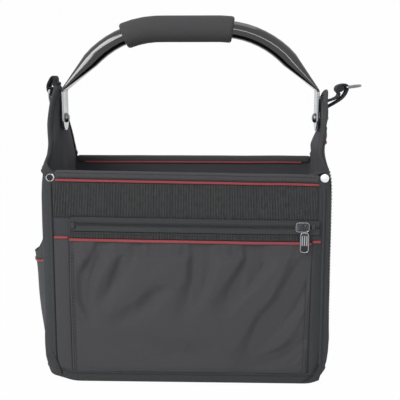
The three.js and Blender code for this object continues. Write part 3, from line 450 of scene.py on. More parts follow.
class Thread:
    """Collects stitches along lines, to be made as one piece."""

    # Sides of a stitch's bar, and its rings: share of its length, share of its thickness, height
    SIDES = 6
    RINGS = ((0, 0.4, -0.5), (0.18, 1, 0.5), (0.82, 1, 0.5), (1, 0.4, -0.5))

    def __init__(self):
        """Starts with no stitches, and with the thread's sizes."""
        self.points = []
        self.faces = []
        self.size = sizes()

    def stitch(self, start, end, normal):
        """One stitch: a short rounded bar that bows up off the cloth."""
        start, end, normal = (np.array(v, float) for v in (start, end, normal))
        along = end - start
        side = np.cross(along, normal)
        side /= np.linalg.norm(side)
        thick = self.size["stitch_thick"] / 2
        base = len(self.points)
        sides = self.SIDES
        for share, swell, lift in self.RINGS:
            centre = start + along * share + normal * thick * lift
            for angle in circle(sides):
                out = side * math.cos(angle) + normal * math.sin(angle)
                self.points.append(centre + out * thick * swell)
        for ring in range(len(self.RINGS) - 1):
            for k in range(sides):
                a = base + ring * sides + k
                b = base + ring * sides + (k + 1) % sides
                self.faces.append((a, a + sides, b + sides, b))
        self.faces.append(tuple(range(base, base + sides)))
        self.faces.append(tuple(range(base + 4 * sides - 1, base + 3 * sides - 1, -1)))

    def line(self, points, normals):
        """A run of stitches along a line, with one normal or one for each point."""
        points = np.asarray(points, float)
        normals = np.broadcast_to(np.asarray(normals, float), points.shape)
        steps = np.linalg.norm(np.diff(points, axis=0), axis=1)
        length_at = np.concatenate([[0], np.cumsum(steps)])
        pitch = self.size["stitch_length"] + self.size["stitch_gap"]
        for k in range(int(length_at[-1] // pitch)):
            begin = k * pitch + self.size["stitch_gap"] / 2
            ends = [
                [np.interp(s, length_at, points[:, axis]) for axis in range(3)]
                for s in (begin, begin + self.size["stitch_length"])
            ]
            normal = [np.interp(begin, length_at, normals[:, axis]) for axis in range(3)]
            self.stitch(ends[0], ends[1], np.array(normal) / np.linalg.norm(normal))

    def make(self, name, finish="thread"):
        """Makes the collected stitches one piece."""
        return new_piece(name, self.points, self.faces, finishes()[finish])


# Shader node groups

class Graph:
    """Short names for adding and joining shader nodes."""

    def __init__(self, tree):
        """Works in the given node tree."""
        self.tree = tree

    def node(self, kind, **settings):
        """Adds a node and sets its properties."""
        made = self.tree.nodes.new(kind)
        for name, value in settings.items():
            setattr(made, name, value)
        return made

    def join(self, source, target):
        """Links an output to an input, or sets the input's value."""
        if hasattr(source, "is_output"):
            self.tree.links.new(source, target)
        else:
            target.default_value = source

    def math(self, operation, a, b=0.0, clamp=False):
        """A math node's result."""
        made = self.node("ShaderNodeMath", operation=operation, use_clamp=clamp)
        self.join(a, made.inputs[0])
        self.join(b, made.inputs[1])
        return made.outputs[0]

    def noise(self, vector, scale, detail=2.0, stretch=None):
        """A noise texture's value."""
        if stretch:
            mapping = self.node("ShaderNodeMapping")
            mapping.inputs["Scale"].default_value = stretch
            self.join(vector, mapping.inputs["Vector"])
            vector = mapping.outputs[0]
        made = self.node("ShaderNodeTexNoise")
        self.join(vector, made.inputs["Vector"])
        self.join(scale, made.inputs["Scale"])
        made.inputs["Detail"].default_value = detail
        return made.outputs[0]

    def between(self, value, low, high):
        """Maps 0..1 to low..high."""
        made = self.node("ShaderNodeMapRange")
        self.join(value, made.inputs["Value"])
        self.join(low, made.inputs["To Min"])
        self.join(high, made.inputs["To Max"])
        return made.outputs[0]

    def mix(self, share, a, b, blend="MIX"):
        """Mixes two colours."""
        made = self.node("ShaderNodeMix", data_type="RGBA", blend_type=blend)
        self.join(share, made.inputs[0])
        self.join(a, made.inputs[6])
        self.join(b, made.inputs[7])
        return made.outputs[2]

    def shade(self, tone, level):
        """A colour multiplied by a level of grey."""
        grey = self.node("ShaderNodeCombineColor")
        for socket in grey.inputs[:3]:
            self.join(level, socket)
        return self.mix(1.0, tone, grey.outputs[0], "MULTIPLY")

    def scaled_axes(self, vector, factor):
        """The X and Y of a vector after scaling."""
        scaled = self.node("ShaderNodeVectorMath", operation="SCALE")
        self.join(vector, scaled.inputs[0])
        self.join(factor, scaled.inputs["Scale"])
        parts = self.node("ShaderNodeSeparateXYZ")
        self.join(scaled.outputs[0], parts.inputs[0])
        return parts.outputs[0], parts.outputs[1]

    def one_of_two(self, share, first, second):
        """Mixes two shaders."""
        made = self.node("ShaderNodeMixShader")
        self.join(share, made.inputs[0])
        self.join(first, made.inputs[1])
        self.join(second, made.inputs[2])
        return made.outputs[0]

    def plain(self, kind, tone, strength=None):
        """A shader of one colour, and of a strength where it has one."""
        made = self.node(kind)
        made.inputs["Color"].default_value = (*tone, 1)
        if strength is not None:
            made.inputs["Strength"].default_value = strength
        return made.outputs[0]


def new_group(name, inputs, outputs):
    """An empty shader node group with the named sockets."""
    tree = bpy.data.node_groups.new(name, "ShaderNodeTree")
    for direction, sockets in (("INPUT", inputs), ("OUTPUT", outputs)):
        for label, kind in sockets:
            tree.interface.new_socket(name=label, in_out=direction, socket_type=f"NodeSocket{kind}")
    graph = Graph(tree)
    return graph, graph.node("NodeGroupInput").outputs, graph.node("NodeGroupOutput").inputs


def make_weave_group():
    """Over and under threads of a plain weave, with uneven yarn."""
    graph, given, result = new_group(
        "Plain weave", [("Vector", "Vector"), ("Pitch", "Float")], [("Height", "Float")])
    turns = graph.math("DIVIDE", math.pi, given["Pitch"])
    across, along = graph.scaled_axes(given["Vector"], turns)
    woven = graph.math("MULTIPLY", graph.math("SINE", across), graph.math("SINE", along))
    yarn = graph.noise(given["Vector"], 900.0)
    both = graph.math("ADD", graph.math("MULTIPLY", woven, 0.5), yarn)
    graph.join(both, result["Height"])
    return graph.tree


# Colour of the lint on the cloths
LINT_TONE = (0.42, 0.42, 0.43)


def make_lint_group():
    """Uneven dye, pale lint and rubbed patches on cloth."""
    graph, given, result = new_group(
        "Rubbed cloth",
        [("Vector", "Vector"), ("Color", "Color"), ("Patches", "Float"), ("Lint", "Float")],
        [("Color", "Color"), ("Roughness", "Float")])
    broad = graph.noise(given["Vector"], 11.0, 3.0)
    darker = graph.math("SUBTRACT", 1.0, given["Patches"])
    lighter = graph.math("ADD", 1.0, given["Patches"])
    toned = graph.shade(given["Color"], graph.between(broad, darker, lighter))
    speck = graph.noise(given["Vector"], 620.0, 1.0)
    flecks = graph.math("MULTIPLY", graph.math("SUBTRACT", speck, 0.6, clamp=True), given["Lint"])
    dusty = graph.mix(flecks, toned, (*LINT_TONE, 1.0))
    graph.join(dusty, result["Color"])
    graph.join(graph.between(broad, 0.72, 0.92), result["Roughness"])
    return graph.tree


def make_rib_group():
    """Rounded ribs across a webbing, with fine cross threads."""
    graph, given, result = new_group(
        "Webbing ribs", [("Vector", "Vector"), ("Pitch", "Float")], [("Height", "Float")])
    turns = graph.math("DIVIDE", 2 * math.pi, given["Pitch"])
    across, along = graph.scaled_axes(given["Vector"], turns)
    rib = graph.math("ABSOLUTE", graph.math("SINE", across))
    cross = graph.math("SINE", graph.math("MULTIPLY", along, 1.7))
    graph.join(graph.math("ADD", rib, graph.math("MULTIPLY", cross, 0.25)), result["Height"])
    return graph.tree


def make_rib_shade_group():
    """Light and dark ribs side by side along X, each of its own width and shade: painted shade and
    highlight at the ribs' pitch, made uneven at random.
    """
    graph, given, result = new_group(
        "Rib painted shade", [("Vector", "Vector"), ("Pitch", "Float"), ("Color", "Color")],
        [("Color", "Color")])
    parts = graph.node("ShaderNodeSeparateXYZ")
    graph.join(given["Vector"], parts.inputs[0])
    turns = graph.math("DIVIDE", parts.outputs[0], given["Pitch"])
    wave = graph.math("COSINE", graph.math("MULTIPLY", turns, 2 * math.pi))
    uneven = graph.noise(given["Vector"], 420.0, 2.0, (1, 0.05, 0.3))
    shade = graph.math("MULTIPLY", graph.math("SUBTRACT", 1.0, wave), uneven)
    # Levels of the painted rib shade and painted rib highlight
    darkest, lightest = 0.3, 1.75
    level = graph.between(shade, darkest, lightest)
    graph.join(graph.shade(given["Color"], level), result["Color"])
    return graph.tree


def make_scuff_group():
    """Fine scratches and dull patches on a hard finish."""
    graph, given, result = new_group(
        "Scuffed finish", [("Vector", "Vector"), ("Amount", "Float")],
        [("Mask", "Float"), ("Height", "Float")])
    streaks = graph.noise(given["Vector"], 260.0, 4.0, (1, 1, 0.12))
    patches = graph.noise(given["Vector"], 30.0, 3.0)
    sharp = graph.math("MULTIPLY", graph.math("SUBTRACT", streaks, 0.58, clamp=True), 5.0, clamp=True)
    mask = graph.math("MULTIPLY", graph.math("MULTIPLY", sharp, patches), given["Amount"], clamp=True)
    graph.join(mask, result["Mask"])
    graph.join(graph.math("MULTIPLY", streaks, 0.5), result["Height"])
    return graph.tree


def empty_graph(owner):
    """The node graph of a material or world, emptied."""
    owner.use_nodes = True
    owner.node_tree.nodes.clear()
    return Graph(owner.node_tree)


def new_material(name):
    """A new material, its graph and its Principled shader."""
    material = bpy.data.materials.new(name)
    material.use_nodes = True
    return material, Graph(material.node_tree), material.node_tree.nodes["Principled BSDF"]


def place_group(graph, group, **values):
    """Puts a node group in a material, with its inputs joined or set."""
    made = graph.node("ShaderNodeGroup", node_tree=group)
    for name, value in values.items():
        graph.join(value, made.inputs[name])
    return made.outputs


def add_bump(graph, shader, height, strength, distance):
    """Feeds a height into the shader's normal."""
    bump = graph.node("ShaderNodeBump")
    bump.inputs["Strength"].default_value = strength
    bump.inputs["Distance"].default_value = distance
    graph.join(height, bump.inputs["Height"])
    graph.join(bump.outputs[0], shader.inputs["Normal"])


def cloth_finish(
        name, groups, tone, pitch, depth, patches=0.1, lint=0.5, ribs=False, by_uv=True, streaks=0.0):
    """A woven or ribbed finish in one colour, or with streaks of a width, painted shade and highlight of
    ribs; laid out by UV or by place.
    """
    material, graph, shader = new_material(name)
    coords = graph.node("ShaderNodeTexCoord")
    surface = coords.outputs["UV"] if by_uv else coords.outputs["Object"]
    worn = place_group(
        graph, groups["lint"], Vector=coords.outputs["Object"], Color=(*tone, 1.0),
        Patches=patches, Lint=lint)
    shown = worn["Color"]
    # With streaks, the ribs get painted shade and painted highlight at their pitch
    if streaks:
        shown = place_group(
            graph, groups["streaks"], Vector=coords.outputs["Object"], Color=shown, Pitch=streaks)["Color"]
    graph.join(shown, shader.inputs["Base Color"])
    graph.join(worn["Roughness"], shader.inputs["Roughness"])
    woven = place_group(graph, groups["ribs" if ribs else "weave"], Vector=surface, Pitch=pitch)
    add_bump(graph, shader, woven["Height"], depth, 0.0004)
    shader.inputs["Specular IOR Level"].default_value = 0.35
    shader.inputs["Sheen Weight"].default_value = 0.06
    shader.inputs["Sheen Roughness"].default_value = 0.5
    return material


def hard_finish(
        name, groups, tone, rough, scuffed, metallic=1.0, worn_tone=(0.3, 0.3, 0.32), specular=0.5,
        dents=0.05):
    """A metal or enamel finish with fine wear, that shows another tone where it is scuffed."""
    rougher = 0.25
    material, graph, shader = new_material(name)
    coords = graph.node("ShaderNodeTexCoord").outputs["Object"]
    worn = place_group(graph, groups["scuff"], Vector=coords, Amount=scuffed)
    graph.join(graph.mix(worn["Mask"], (*tone, 1.0), (*worn_tone, 1.0)), shader.inputs["Base Color"])
    graph.join(graph.between(worn["Mask"], rough, rough + rougher), shader.inputs["Roughness"])
    shader.inputs["Metallic"].default_value = metallic
    shader.inputs["Specular IOR Level"].default_value = specular
    add_bump(graph, shader, worn["Height"], dents, 0.0002)
    return material


def make_finishes():
    """Every material of the bag, by name."""
    tones = bpy.context.scene.tool_bag_colours
    pitch = bpy.context.scene.tool_bag_sizes.thread_pitch
    rib = bpy.context.scene.tool_bag_sizes.rib_pitch
    groups = {
        "weave": make_weave_group(), "lint": make_lint_group(),
        "ribs": make_rib_group(), "streaks": make_rib_shade_group(), "scuff": make_scuff_group(),
    }
    return {
        "canvas": cloth_finish("Canvas", groups, tones.canvas, pitch, depth=0.5),
        "facing": cloth_finish(
            "Facing cloth", groups, tones.facing, pitch * 0.8, depth=0.3, patches=0.06, lint=0.3),
        # Tape-toned cloth: the zip's teeth in their own tone, and the right facing darkened as painted
        # shade
        "shaded": cloth_finish(
            "Tape tone and painted facing shade", groups, tones.tape, pitch * 0.8, depth=0.3, patches=0.06, lint=0.3),
        "lining": cloth_finish("Lining", groups, tones.lining, pitch * 1.3, depth=0.4, patches=0.15),
        "ribbed": cloth_finish(
            "Ribbed webbing", groups, tones.ribbed, pitch, depth=0.5, patches=0.12, lint=0.35,
            streaks=rib),
        "tape": cloth_finish("Binding tape", groups, tones.tape, pitch, depth=0.6, lint=0.3),
        "red": cloth_finish("Red piping", groups, tones.red, pitch * 1.1, depth=0.7, patches=0.16),
        "webbing": cloth_finish(
            "Loop webbing", groups, tones.webbing, pitch * 2, depth=0.6, patches=0.15, lint=0.7,
            ribs=True, by_uv=False),
        "thread": cloth_finish(
            "Thread", groups, tones.thread, pitch * 0.5, depth=0.4, lint=0.3, ribs=True, by_uv=False),
        "foam": cloth_finish(
            "Foam", groups, tones.foam, pitch * 1.4, depth=0.3, patches=0.05, lint=0.2, by_uv=False),
        "enamel": hard_finish(
            "Black enamel", groups, tones.enamel, rough=0.1, scuffed=0.12, metallic=0.0,
            worn_tone=(0.05, 0.05, 0.055), specular=0.8, dents=0.01),
        "zip_metal": hard_finish("Zip metal", groups, tones.zip_metal, rough=0.3, scuffed=0.9),
        "steel": hard_finish("Steel", groups, tones.steel, rough=0.22, scuffed=0.8),
        "nickel": hard_finish(
            "Nickel", groups, tones.nickel, rough=0.3, scuffed=0.4, worn_tone=(0.6, 0.6, 0.62)),
        "dark_steel": hard_finish("Dark steel", groups, tones.dark_steel, rough=0.3, scuffed=0.8),
    }


FINISHES = {}


def finishes():
    """The materials, made once."""
    if not FINISHES:
        FINISHES.update(make_finishes())
    return FINISHES


# Walls and base

def plan_columns(half_x, half_y, radius, count_x, count_y):
    """Points round a rounded rectangle from its front left, each with its outward direction."""
    arc = 5
    flat_x, flat_y = half_x - radius, half_y - radius
    columns = [(x, -half_y, 0, -1) for x in np.linspace(-flat_x, flat_x, count_x)]
    columns += [(half_x, y, 1, 0) for y in np.linspace(-flat_y, flat_y, count_y)]
    columns += [(x, half_y, 0, 1) for x in np.linspace(flat_x, -flat_x, count_x)]
    columns += [(-half_x, y, -1, 0) for y in np.linspace(flat_y, -flat_y, count_y)]
    corners = [
        (flat_x, -flat_y, -90), (flat_x, flat_y, 0), (-flat_x, flat_y, 90), (-flat_x, -flat_y, 180)]
    places = [count_x, count_x + count_y, 2 * count_x + count_y, 2 * (count_x + count_y)]
    made = []
    start = 0
    for (cx, cy, first), stop in zip(corners, places):
        made += columns[start:stop]
        for k in range(1, arc):
            angle = math.radians(first + 90 * k / arc)
            nx, ny = math.cos(angle), math.sin(angle)
            made.append((cx + radius * nx, cy + radius * ny, nx, ny))
        start = stop
    return np.array(made)


def wall_top(x, y):
    """Height of the wall's top edge at a point of its plan."""
    if abs(x) > HALF_WIDTH - 1 and abs(y) < HALF_DEPTH - CORNER_RUN:
        return float(gable_top(y))
    front_reach, back_reach = 10, 3.5
    reach = front_reach if y < 0 else back_reach
    return RIM + (CORNER_TOP - RIM) * float(smooth(HALF_WIDTH - reach, HALF_WIDTH - 1.5, abs(x)))


def creases(points, normal_x):
    """How deep the walls are creased, from 0 to 1: not on the front, at the base or by the rings."""
    x, y, z = points.T
    fold_scale, hollow_scale, fold_share, hollow_share, level = 26, 55, 0.55, 0.6, 0.15
    folds = wander(np.stack([x * 0.5, y, z * 0.35], 1), fold_scale, "folds")
    hollows = wander(points, hollow_scale, "hollows")
    depth = np.clip(fold_share * folds + hollow_share * hollows + level, 0, 1)
    on_end = np.abs(normal_x)
    on_back = (y > HALF_DEPTH - 12) & (on_end < 0.5)
    ring_below, ring_wide, ring_tall = 40, 34, 42
    clear = 1 - np.exp(-((y / ring_wide) ** 2) - ((z - CREST + ring_below) / ring_tall) ** 2)
    above_base = smooth(TRAY_TOP, TRAY_TOP + 30, z)
    below_rim = 1 - smooth(RIM - 30, RIM - 8, z)
    return depth * above_base * (on_end * clear + on_back * below_rim)


class TOOLBAG_OT_walls(bpy.types.Operator):
    """Walls of the bag: one lofted shell of padded canvas with a lining"""
    bl_idname = "toolbag.walls"
    bl_label = "Walls"

    def execute(self, context):
        size = sizes()
        plan = plan_columns(HALF_WIDTH, HALF_DEPTH, WALL_RADIUS, 84, 48)

        # The rows lie closer together at the top edge
        shares = np.concatenate([np.linspace(0, 0.95, 60), np.linspace(0.96, 1, 6)])
        foot, seam_depth, seam_width, tuck_depth, tuck_width = 6.0, 1.0, 3.5, 0.8, 7
        grid = np.zeros((len(shares), len(plan), 3))
        for c, (x, y, nx, ny) in enumerate(plan):
            top = wall_top(x, y)
            z = foot + shares * (top - foot)
            depth = seam_depth * np.exp(-((abs(x) - SEAM_X) / seam_width) ** 2) * (abs(ny) > 0.5)
            points = np.stack([np.full_like(z, x), np.full_like(z, y), z], 1)
            depth = depth + tuck_depth * np.exp(-((z - TRAY_TOP) / tuck_width) ** 2)
            depth = depth + size["crease_depth"] * creases(points, nx)
            points[:, 0] += -nx * depth + np.sign(x) * lean(z) * (abs(nx) > 0.5)
            points[:, 1] += -ny * depth
            grid[:, c] = points
        made = finishes()
        walls = grid_piece(
            "bag_walls", settled(grid), [made["canvas"], made["lining"]],
            ("front_panel", "back_panel", "gable_right", "gable_left"), wrap=True)
        clear_of_lining = 0.2
        thicken(walls, WALL - clear_of_lining, inner_finish=True)
        self.thin_edge(walls, grid)
        return {"FINISHED"}

    def thin_edge(self, walls, grid):
        """Thins the walls at the raised ends' edges, where the binding holds them."""
        x, y, z = grid.reshape(-1, 3).T
        gap = route_gap(np.abs(y), z, CORNER_LINE)[0]
        by_end, below_rim, thin_to, full_from = 8, 20, 2, 18
        raised = (np.abs(x) > HALF_WIDTH - by_end) & (z > RIM - below_rim)
        full = np.where(raised, smooth(thin_to, full_from, gap), 1.0)
        group = walls.vertex_groups.new(name="padded")
        for k, weight in enumerate(full):
            group.add([k], float(weight), "REPLACE")
        walls.modifiers["thickness"].vertex_group = "padded"
        walls.modifiers["thickness"].thickness_vertex_group = EDGE_WALL / WALL


# Free edge of the fold over each front corner of the base: the four points of a curve, each a
# distance from the middle and a height
CORNER_FOLDS = {
    "left": ((167, 36), (163, 24), (160, 18), (157, 4)),
    "right": ((166, 29), (160, 18), (156, 9), (143, 3)),
}


class TOOLBAG_OT_base(bpy.types.Operator):
    """Base: fabric tray with soft corners, and the board that lies in it"""
    bl_idname = "toolbag.base"
    bl_label = "Base"

    def execute(self, context):
        made = finishes()
        plan = plan_columns(HALF_WIDTH + TRAY_CLEAR, HALF_DEPTH + TRAY_CLEAR, TRAY_RADIUS, 60, 34)

        # Rings by how far they lie inside the plan and their height: over the hem and down to the floor
        profile = [
            (3.2, TRAY_TOP - 1.5), (2.0, TRAY_TOP + 0.6), (-0.3, TRAY_TOP + 0.8), (-1.0, TRAY_TOP - 0.6),
            (-0.9, TRAY_TOP - 2.2), (0.0, TRAY_TOP - 3.0), (-0.8, 9.0), (-1.6, 4.0), (-1.6, 1.2),
            (-0.4, 0.0), (6.0, 0.0),
        ]
        rings = [
            [(x - nx * inset, y - ny * inset, z) for x, y, nx, ny in plan] for inset, z in profile]
        for share in (0.75, 0.4, 0.05):
            rings.append([(x * share, y * share, 0.0) for x, y, nx, ny in plan])
        rings = settled(rings)
        rings[..., 2] = np.maximum(rings[..., 2], 0.0)
        tray = grid_piece(
            "base_cover", rings, made["tape"], ("base_tray",), wrap=True)
        round_off(tray)

        low, high = span("base_board")
        board_radius, crown = 12, 0.8
        board = plan_columns(high[0], high[1], board_radius, 30, 18)
        profile = [(0.0, 0.05), (0.0, 0.7), (0.6, 1.0), (4.0, 1.1)]
        rings = [
            [(x - nx * inset, y - ny * inset, low[2] + (high[2] - low[2]) * up)
             for x, y, nx, ny in board] for inset, up in profile]
        for share in (0.8, 0.5, 0.2, 0.01):
            rings.append([(x * share, y * share, high[2] + crown) for x, y, nx, ny in board])
        insert = grid_piece(
            "base_insert", rings[::-1], made["lining"], ("base_board",), wrap=True)
        round_off(insert)

        for name, side in (("left", -1), ("right", 1)):
            self.corner_fold(name, side, made)

        thread = Thread()
        stand, below_hem = 1.0, 3.4
        ridge = plan_columns(HALF_WIDTH + stand, HALF_DEPTH + stand, TRAY_RADIUS, 90, 50)
        line = settled([(x, y, TRAY_TOP - below_hem) for x, y, nx, ny in ridge])
        thread.line(line, ridge[:, [2, 3, 2]] * (1, 1, 0))
        thread.make("base_stitches")
        return {"FINISHED"}

    def corner_fold(self, name, side, made):
        """The cloth folded over a front corner of the base, with a welt in dark thread on its free edge,
        painted shade of the fold's edge.
        """
        radius = TRAY_RADIUS
        flat_x, flat_y = HALF_WIDTH + TRAY_CLEAR - radius, HALF_DEPTH + TRAY_CLEAR - radius
        edge_stand, beyond_corner, sunk, rise, fold_thick, welt_radius = 2.6, 6, 0.7, 4, 0.9, 0.9
        rings = []
        for row, (x, z) in enumerate(bezier(*CORNER_FOLDS[name], 14)):
            stand = edge_stand * float(smooth(-1, 4, row))
            last = flat_x + radius * math.pi / 2 + beyond_corner
            ring = []
            for share in np.linspace(0, 1, 12):
                run = x + (last - x) * share
                height = z * (1 - share) + (z + rise) * share
                out = stand * (1 - float(smooth(0.15, 0.75, share))) - sunk
                turn = min(max(run - flat_x, 0) / radius, math.pi / 2)
                past = max(run - flat_x - radius * math.pi / 2, 0)
                ring.append((
                    side * (min(run, flat_x) + (radius + out) * math.sin(turn)),
                    past - flat_y - (radius + out) * math.cos(turn), height))
            rings.append(ring)
        rings = settled(rings)
        fold = grid_piece(
            f"corner_fold_{name}", rings if side < 0 else rings[::-1], made["tape"])
        thicken(fold, fold_thick)
        round_off(fold)
        # The welt's dark thread tone is painted shade along the fold's free edge
        welt = [
            [point + welt_radius * np.array((math.cos(a), math.sin(a), 0)) for a in circle(8)]
            for point in rings[:, 0]]
        rounded_tube(f"corner_fold_edge_{name}", welt, made["thread"])


class TOOLBAG_OT_bindings(bpy.types.Operator):
    """Binding tapes over the raised ends' edges, and the welts on the corner seams"""
    bl_idname = "toolbag.bindings"
    bl_label = "Bindings"

    def execute(self, context):
        made = finishes()
        thread = Thread()
        half = EDGE_WALL / 2 + 0.3
        tape, leg, stitch_stand, stitch_rise, first_free = 1.2, 8.0, 0.15, 1.6, 6

        # Round the edge: the inner leg, over the top, the outer leg, and back under
        section = [
            (-half - 0.2, -leg), (-half - tape, -leg), (-half - tape - 0.1, -leg / 2),
            (-half - tape, 0.4), (-half * 0.6, 1.7), (half * 0.6, 1.7),
            (half + tape, 0.4), (half + tape + 0.1, -leg / 2), (half + tape, -leg),
            (half + 0.2, -leg), (half + 0.1, -1.0), (half * 0.5, 0.3), (-half * 0.5, 0.3),
            (-half - 0.1, -1.0),
        ]
        for name, side in (("right", 1), ("left", -1)):
            rings, outer, inner = [], [], []
            for point, out, up in self.edge():
                def place(a, b):
                    """A point of the section at this point of the edge, leaning with the end."""
                    at = point + out * (a - EDGE_WALL / 2) + up * b
                    return (side * (at[0] + lean(at[2]) * out[0]), at[1], at[2])

                rings.append([place(a, b) for a, b in section])
                outer.append(place(half + tape + stitch_stand, -leg + stitch_rise))
                inner.append(place(-half - tape - stitch_stand, -leg + stitch_rise))
            rounded_tube(
                f"edge_binding_{name}", settled(rings), made["tape"],
                (f"edge_tape_{name}",))
            thread.line(settled(outer)[first_free:-first_free], (side, 0, 0))
            thread.line(settled(inner)[first_free:-first_free], (-side, 0, 0))
        thread.make("binding_stitches")

        for face, sign in (("front", -1), ("back", 1)):
            for name in ("left", "right"):
                self.welt(face, sign, name, made["tape"])
        return {"FINISHED"}

    def welt(self, face, sign, name, finish):
        """The rounded welt on a corner seam."""
        node = f"seam_tape_{face}_{name}"
        low, high = span(node)
        middle = (low[0] + high[0]) / 2
        half = (high[0] - low[0]) / 2
        shoulder, crown, sunk = 1.3, 2.0, 0.1
        ring = [
            (-half, 0.0), (-half * 0.9, shoulder), (-half * 0.3, crown), (half * 0.3, crown),
            (half * 0.9, shoulder), (half, 0.0)]
        rings = settled([
            [(middle + a, sign * (HALF_DEPTH + sunk + b), z) for a, b in ring]
            for z in np.linspace(low[2], high[2], 60)])
        if sign < 0:
            rings = rings[::-1]
        rounded_tube(f"corner_welt_{face}_{name}", rings, finish, (node,))

    def edge(self):
        """The right end's edge from the front hem to the back: place, outward and upward directions."""
        radius, arc = WALL_RADIUS, 5
        flat_x, flat_y = HALF_WIDTH - radius, HALF_DEPTH - radius
        corner = [(x, -HALF_DEPTH, 0, -1) for x in (flat_x - 5, flat_x - 2)]
        for k in range(arc):
            turn = math.radians(-90 + 90 / arc * k)
            nx, ny = math.cos(turn), math.sin(turn)
            corner.append((flat_x + radius * nx, -flat_y + radius * ny, nx, ny))
        low = [(x, y, wall_top(x, y), nx, ny) for x, y, nx, ny in corner]
        fore = low + [(HALF_WIDTH, -y, z, 1, 0) for y, z in OUTLINE[1:]]
        aft = [(HALF_WIDTH, y, z, 1, 0) for y, z in OUTLINE[-2:0:-1]]
        aft += [(x, -y, wall_top(x, -y), nx, -ny) for x, y, nx, ny in corner[:3:-1]]
        path = np.array(fore + aft, float)
        points = path[:, :3]
        along = np.gradient(points, axis=0)
        out = np.column_stack([path[:, 3:], np.zeros(len(path))])
        up = np.cross(out, along)
        up /= np.linalg.norm(up, axis=1)[:, None]
        return list(zip(points, out, up))


class TOOLBAG_OT_rim(bpy.types.Operator):
    """Hems over the rims, red piping under them, and the ribbed band on the front"""
    bl_idname = "toolbag.rim"
    bl_label = "Rim"

    def execute(self, context):
        made = finishes()
        size = sizes()
        thread = Thread()
        for face, side in (("front", -1), ("back", 1)):
            self.hem(face, side, thread, made["facing"])
            self.cord(face, side, made["red"])

        low, high = span("ribbed_band")
        back = abs(high[1])
        face_stand, longer_left = 1.3, 4
        dice = random.Random(5)
        level = [dice.uniform(0.35, 1.0) for _ in range(400)]

        def ribbed(x):
            """The band's section at a place: each rib stands out by its own amount."""
            place = (x - low[0]) / size["rib_pitch"]
            rib = 0.5 - 0.5 * math.cos(2 * math.pi * place)
            face_out = back + face_stand + size["rib_height"] * rib ** 0.8 * level[int(place)]
            return [
                (back, low[2] + 0.8), (face_out - 0.6, low[2] + 0.9), (face_out, low[2] + 2.2),
                (face_out, (low[2] + high[2]) / 2), (face_out, high[2] - 1.6),
                (face_out - 0.6, high[2] - 0.1), (back, high[2]),
            ]

        front_bar(
            "front_webbing", low[0] - longer_left, high[0], ribbed, made["ribbed"],
            ("ribbed_band",), step=size["rib_pitch"] / 5)
        thread.make("rim_stitches")
        return {"FINISHED"}

    def hem(self, face, side, thread, finish):
        """The facing folded over a rim, with its two rows of stitches."""
        low, high = span(f"rim_hem_{face}")
        out = max(abs(low[1]), abs(high[1]))
        inside = min(abs(low[1]), abs(high[1]))
        bottom, top = low[2], high[2]
        section = [
            (out - 1.5, bottom), (out, bottom + 0.3), (out + 0.5, (bottom + top) / 2 - 1),
            (out + 0.1, top - 1.4), (out - 1.6, top + 0.3), (inside + 1.8, top + 0.4),
            (inside, top - 1.2), (inside - 0.2, (bottom + top) / 2), (inside, bottom + 0.3),
            (inside + 1.5, bottom), (inside + 1.7, RIM - 1), (inside + 2.5, RIM + 0.4),
            (out - 2.5, RIM + 0.4), (out - 1.7, RIM - 1),
        ]
        longer = 10.5 if face == "back" else 0.0
        front_bar(
            f"hem_{face}", low[0] - longer, high[0] + longer, section, finish,
            (f"rim_hem_{face}",), side)
        xs = np.linspace(low[0] + 2, high[0] - 2, 80)
        stand, above_bottom, below_top = 0.45, 1.8, 2.4
        for height in (bottom + above_bottom, top - below_top):
            thread.line(settled([(x, side * (out + stand), height) for x in xs]), (0, side, 0))

    def cord(self, face, side, finish):
        """The red piping under a rim's hem: it stands out on the front and inwards at the back."""
        low, high = span(f"rim_piping_{face}")
        higher_back, fuller = 2.0, 0.25
        middle = (low[2] + high[2]) / 2 + (higher_back if face == "back" else 0.0)
        tall = (high[2] - low[2]) / 2 + fuller
        near, far = sorted((abs(low[1]), abs(high[1])))
        outward = 1.0 if face == "front" else -1.0
        base, tip = (near, far) if face == "front" else (far, near)
        section = [
            (base + outward * abs(tip - base) * math.cos(a), middle + tall * math.sin(a))
            for a in HALF_ROUND]
        if face == "back":
            section = section[::-1]
        front_bar(
            f"rim_cord_{face}", low[0], high[0], section, finish,
            (f"rim_piping_{face}",), side)


# Zip

# The zip tapes' cloth bunched at its left end: how far along, half height and how far it swells
ZIP_BUNCH = (
    (0, 5.5, 1.5), (2.5, 8.0, 3.0), (5, 6.0, 1.6), (7.2, 7.4, 2.8), (9.2, 4.8, 1.2), (10.6, 2, 0.6))


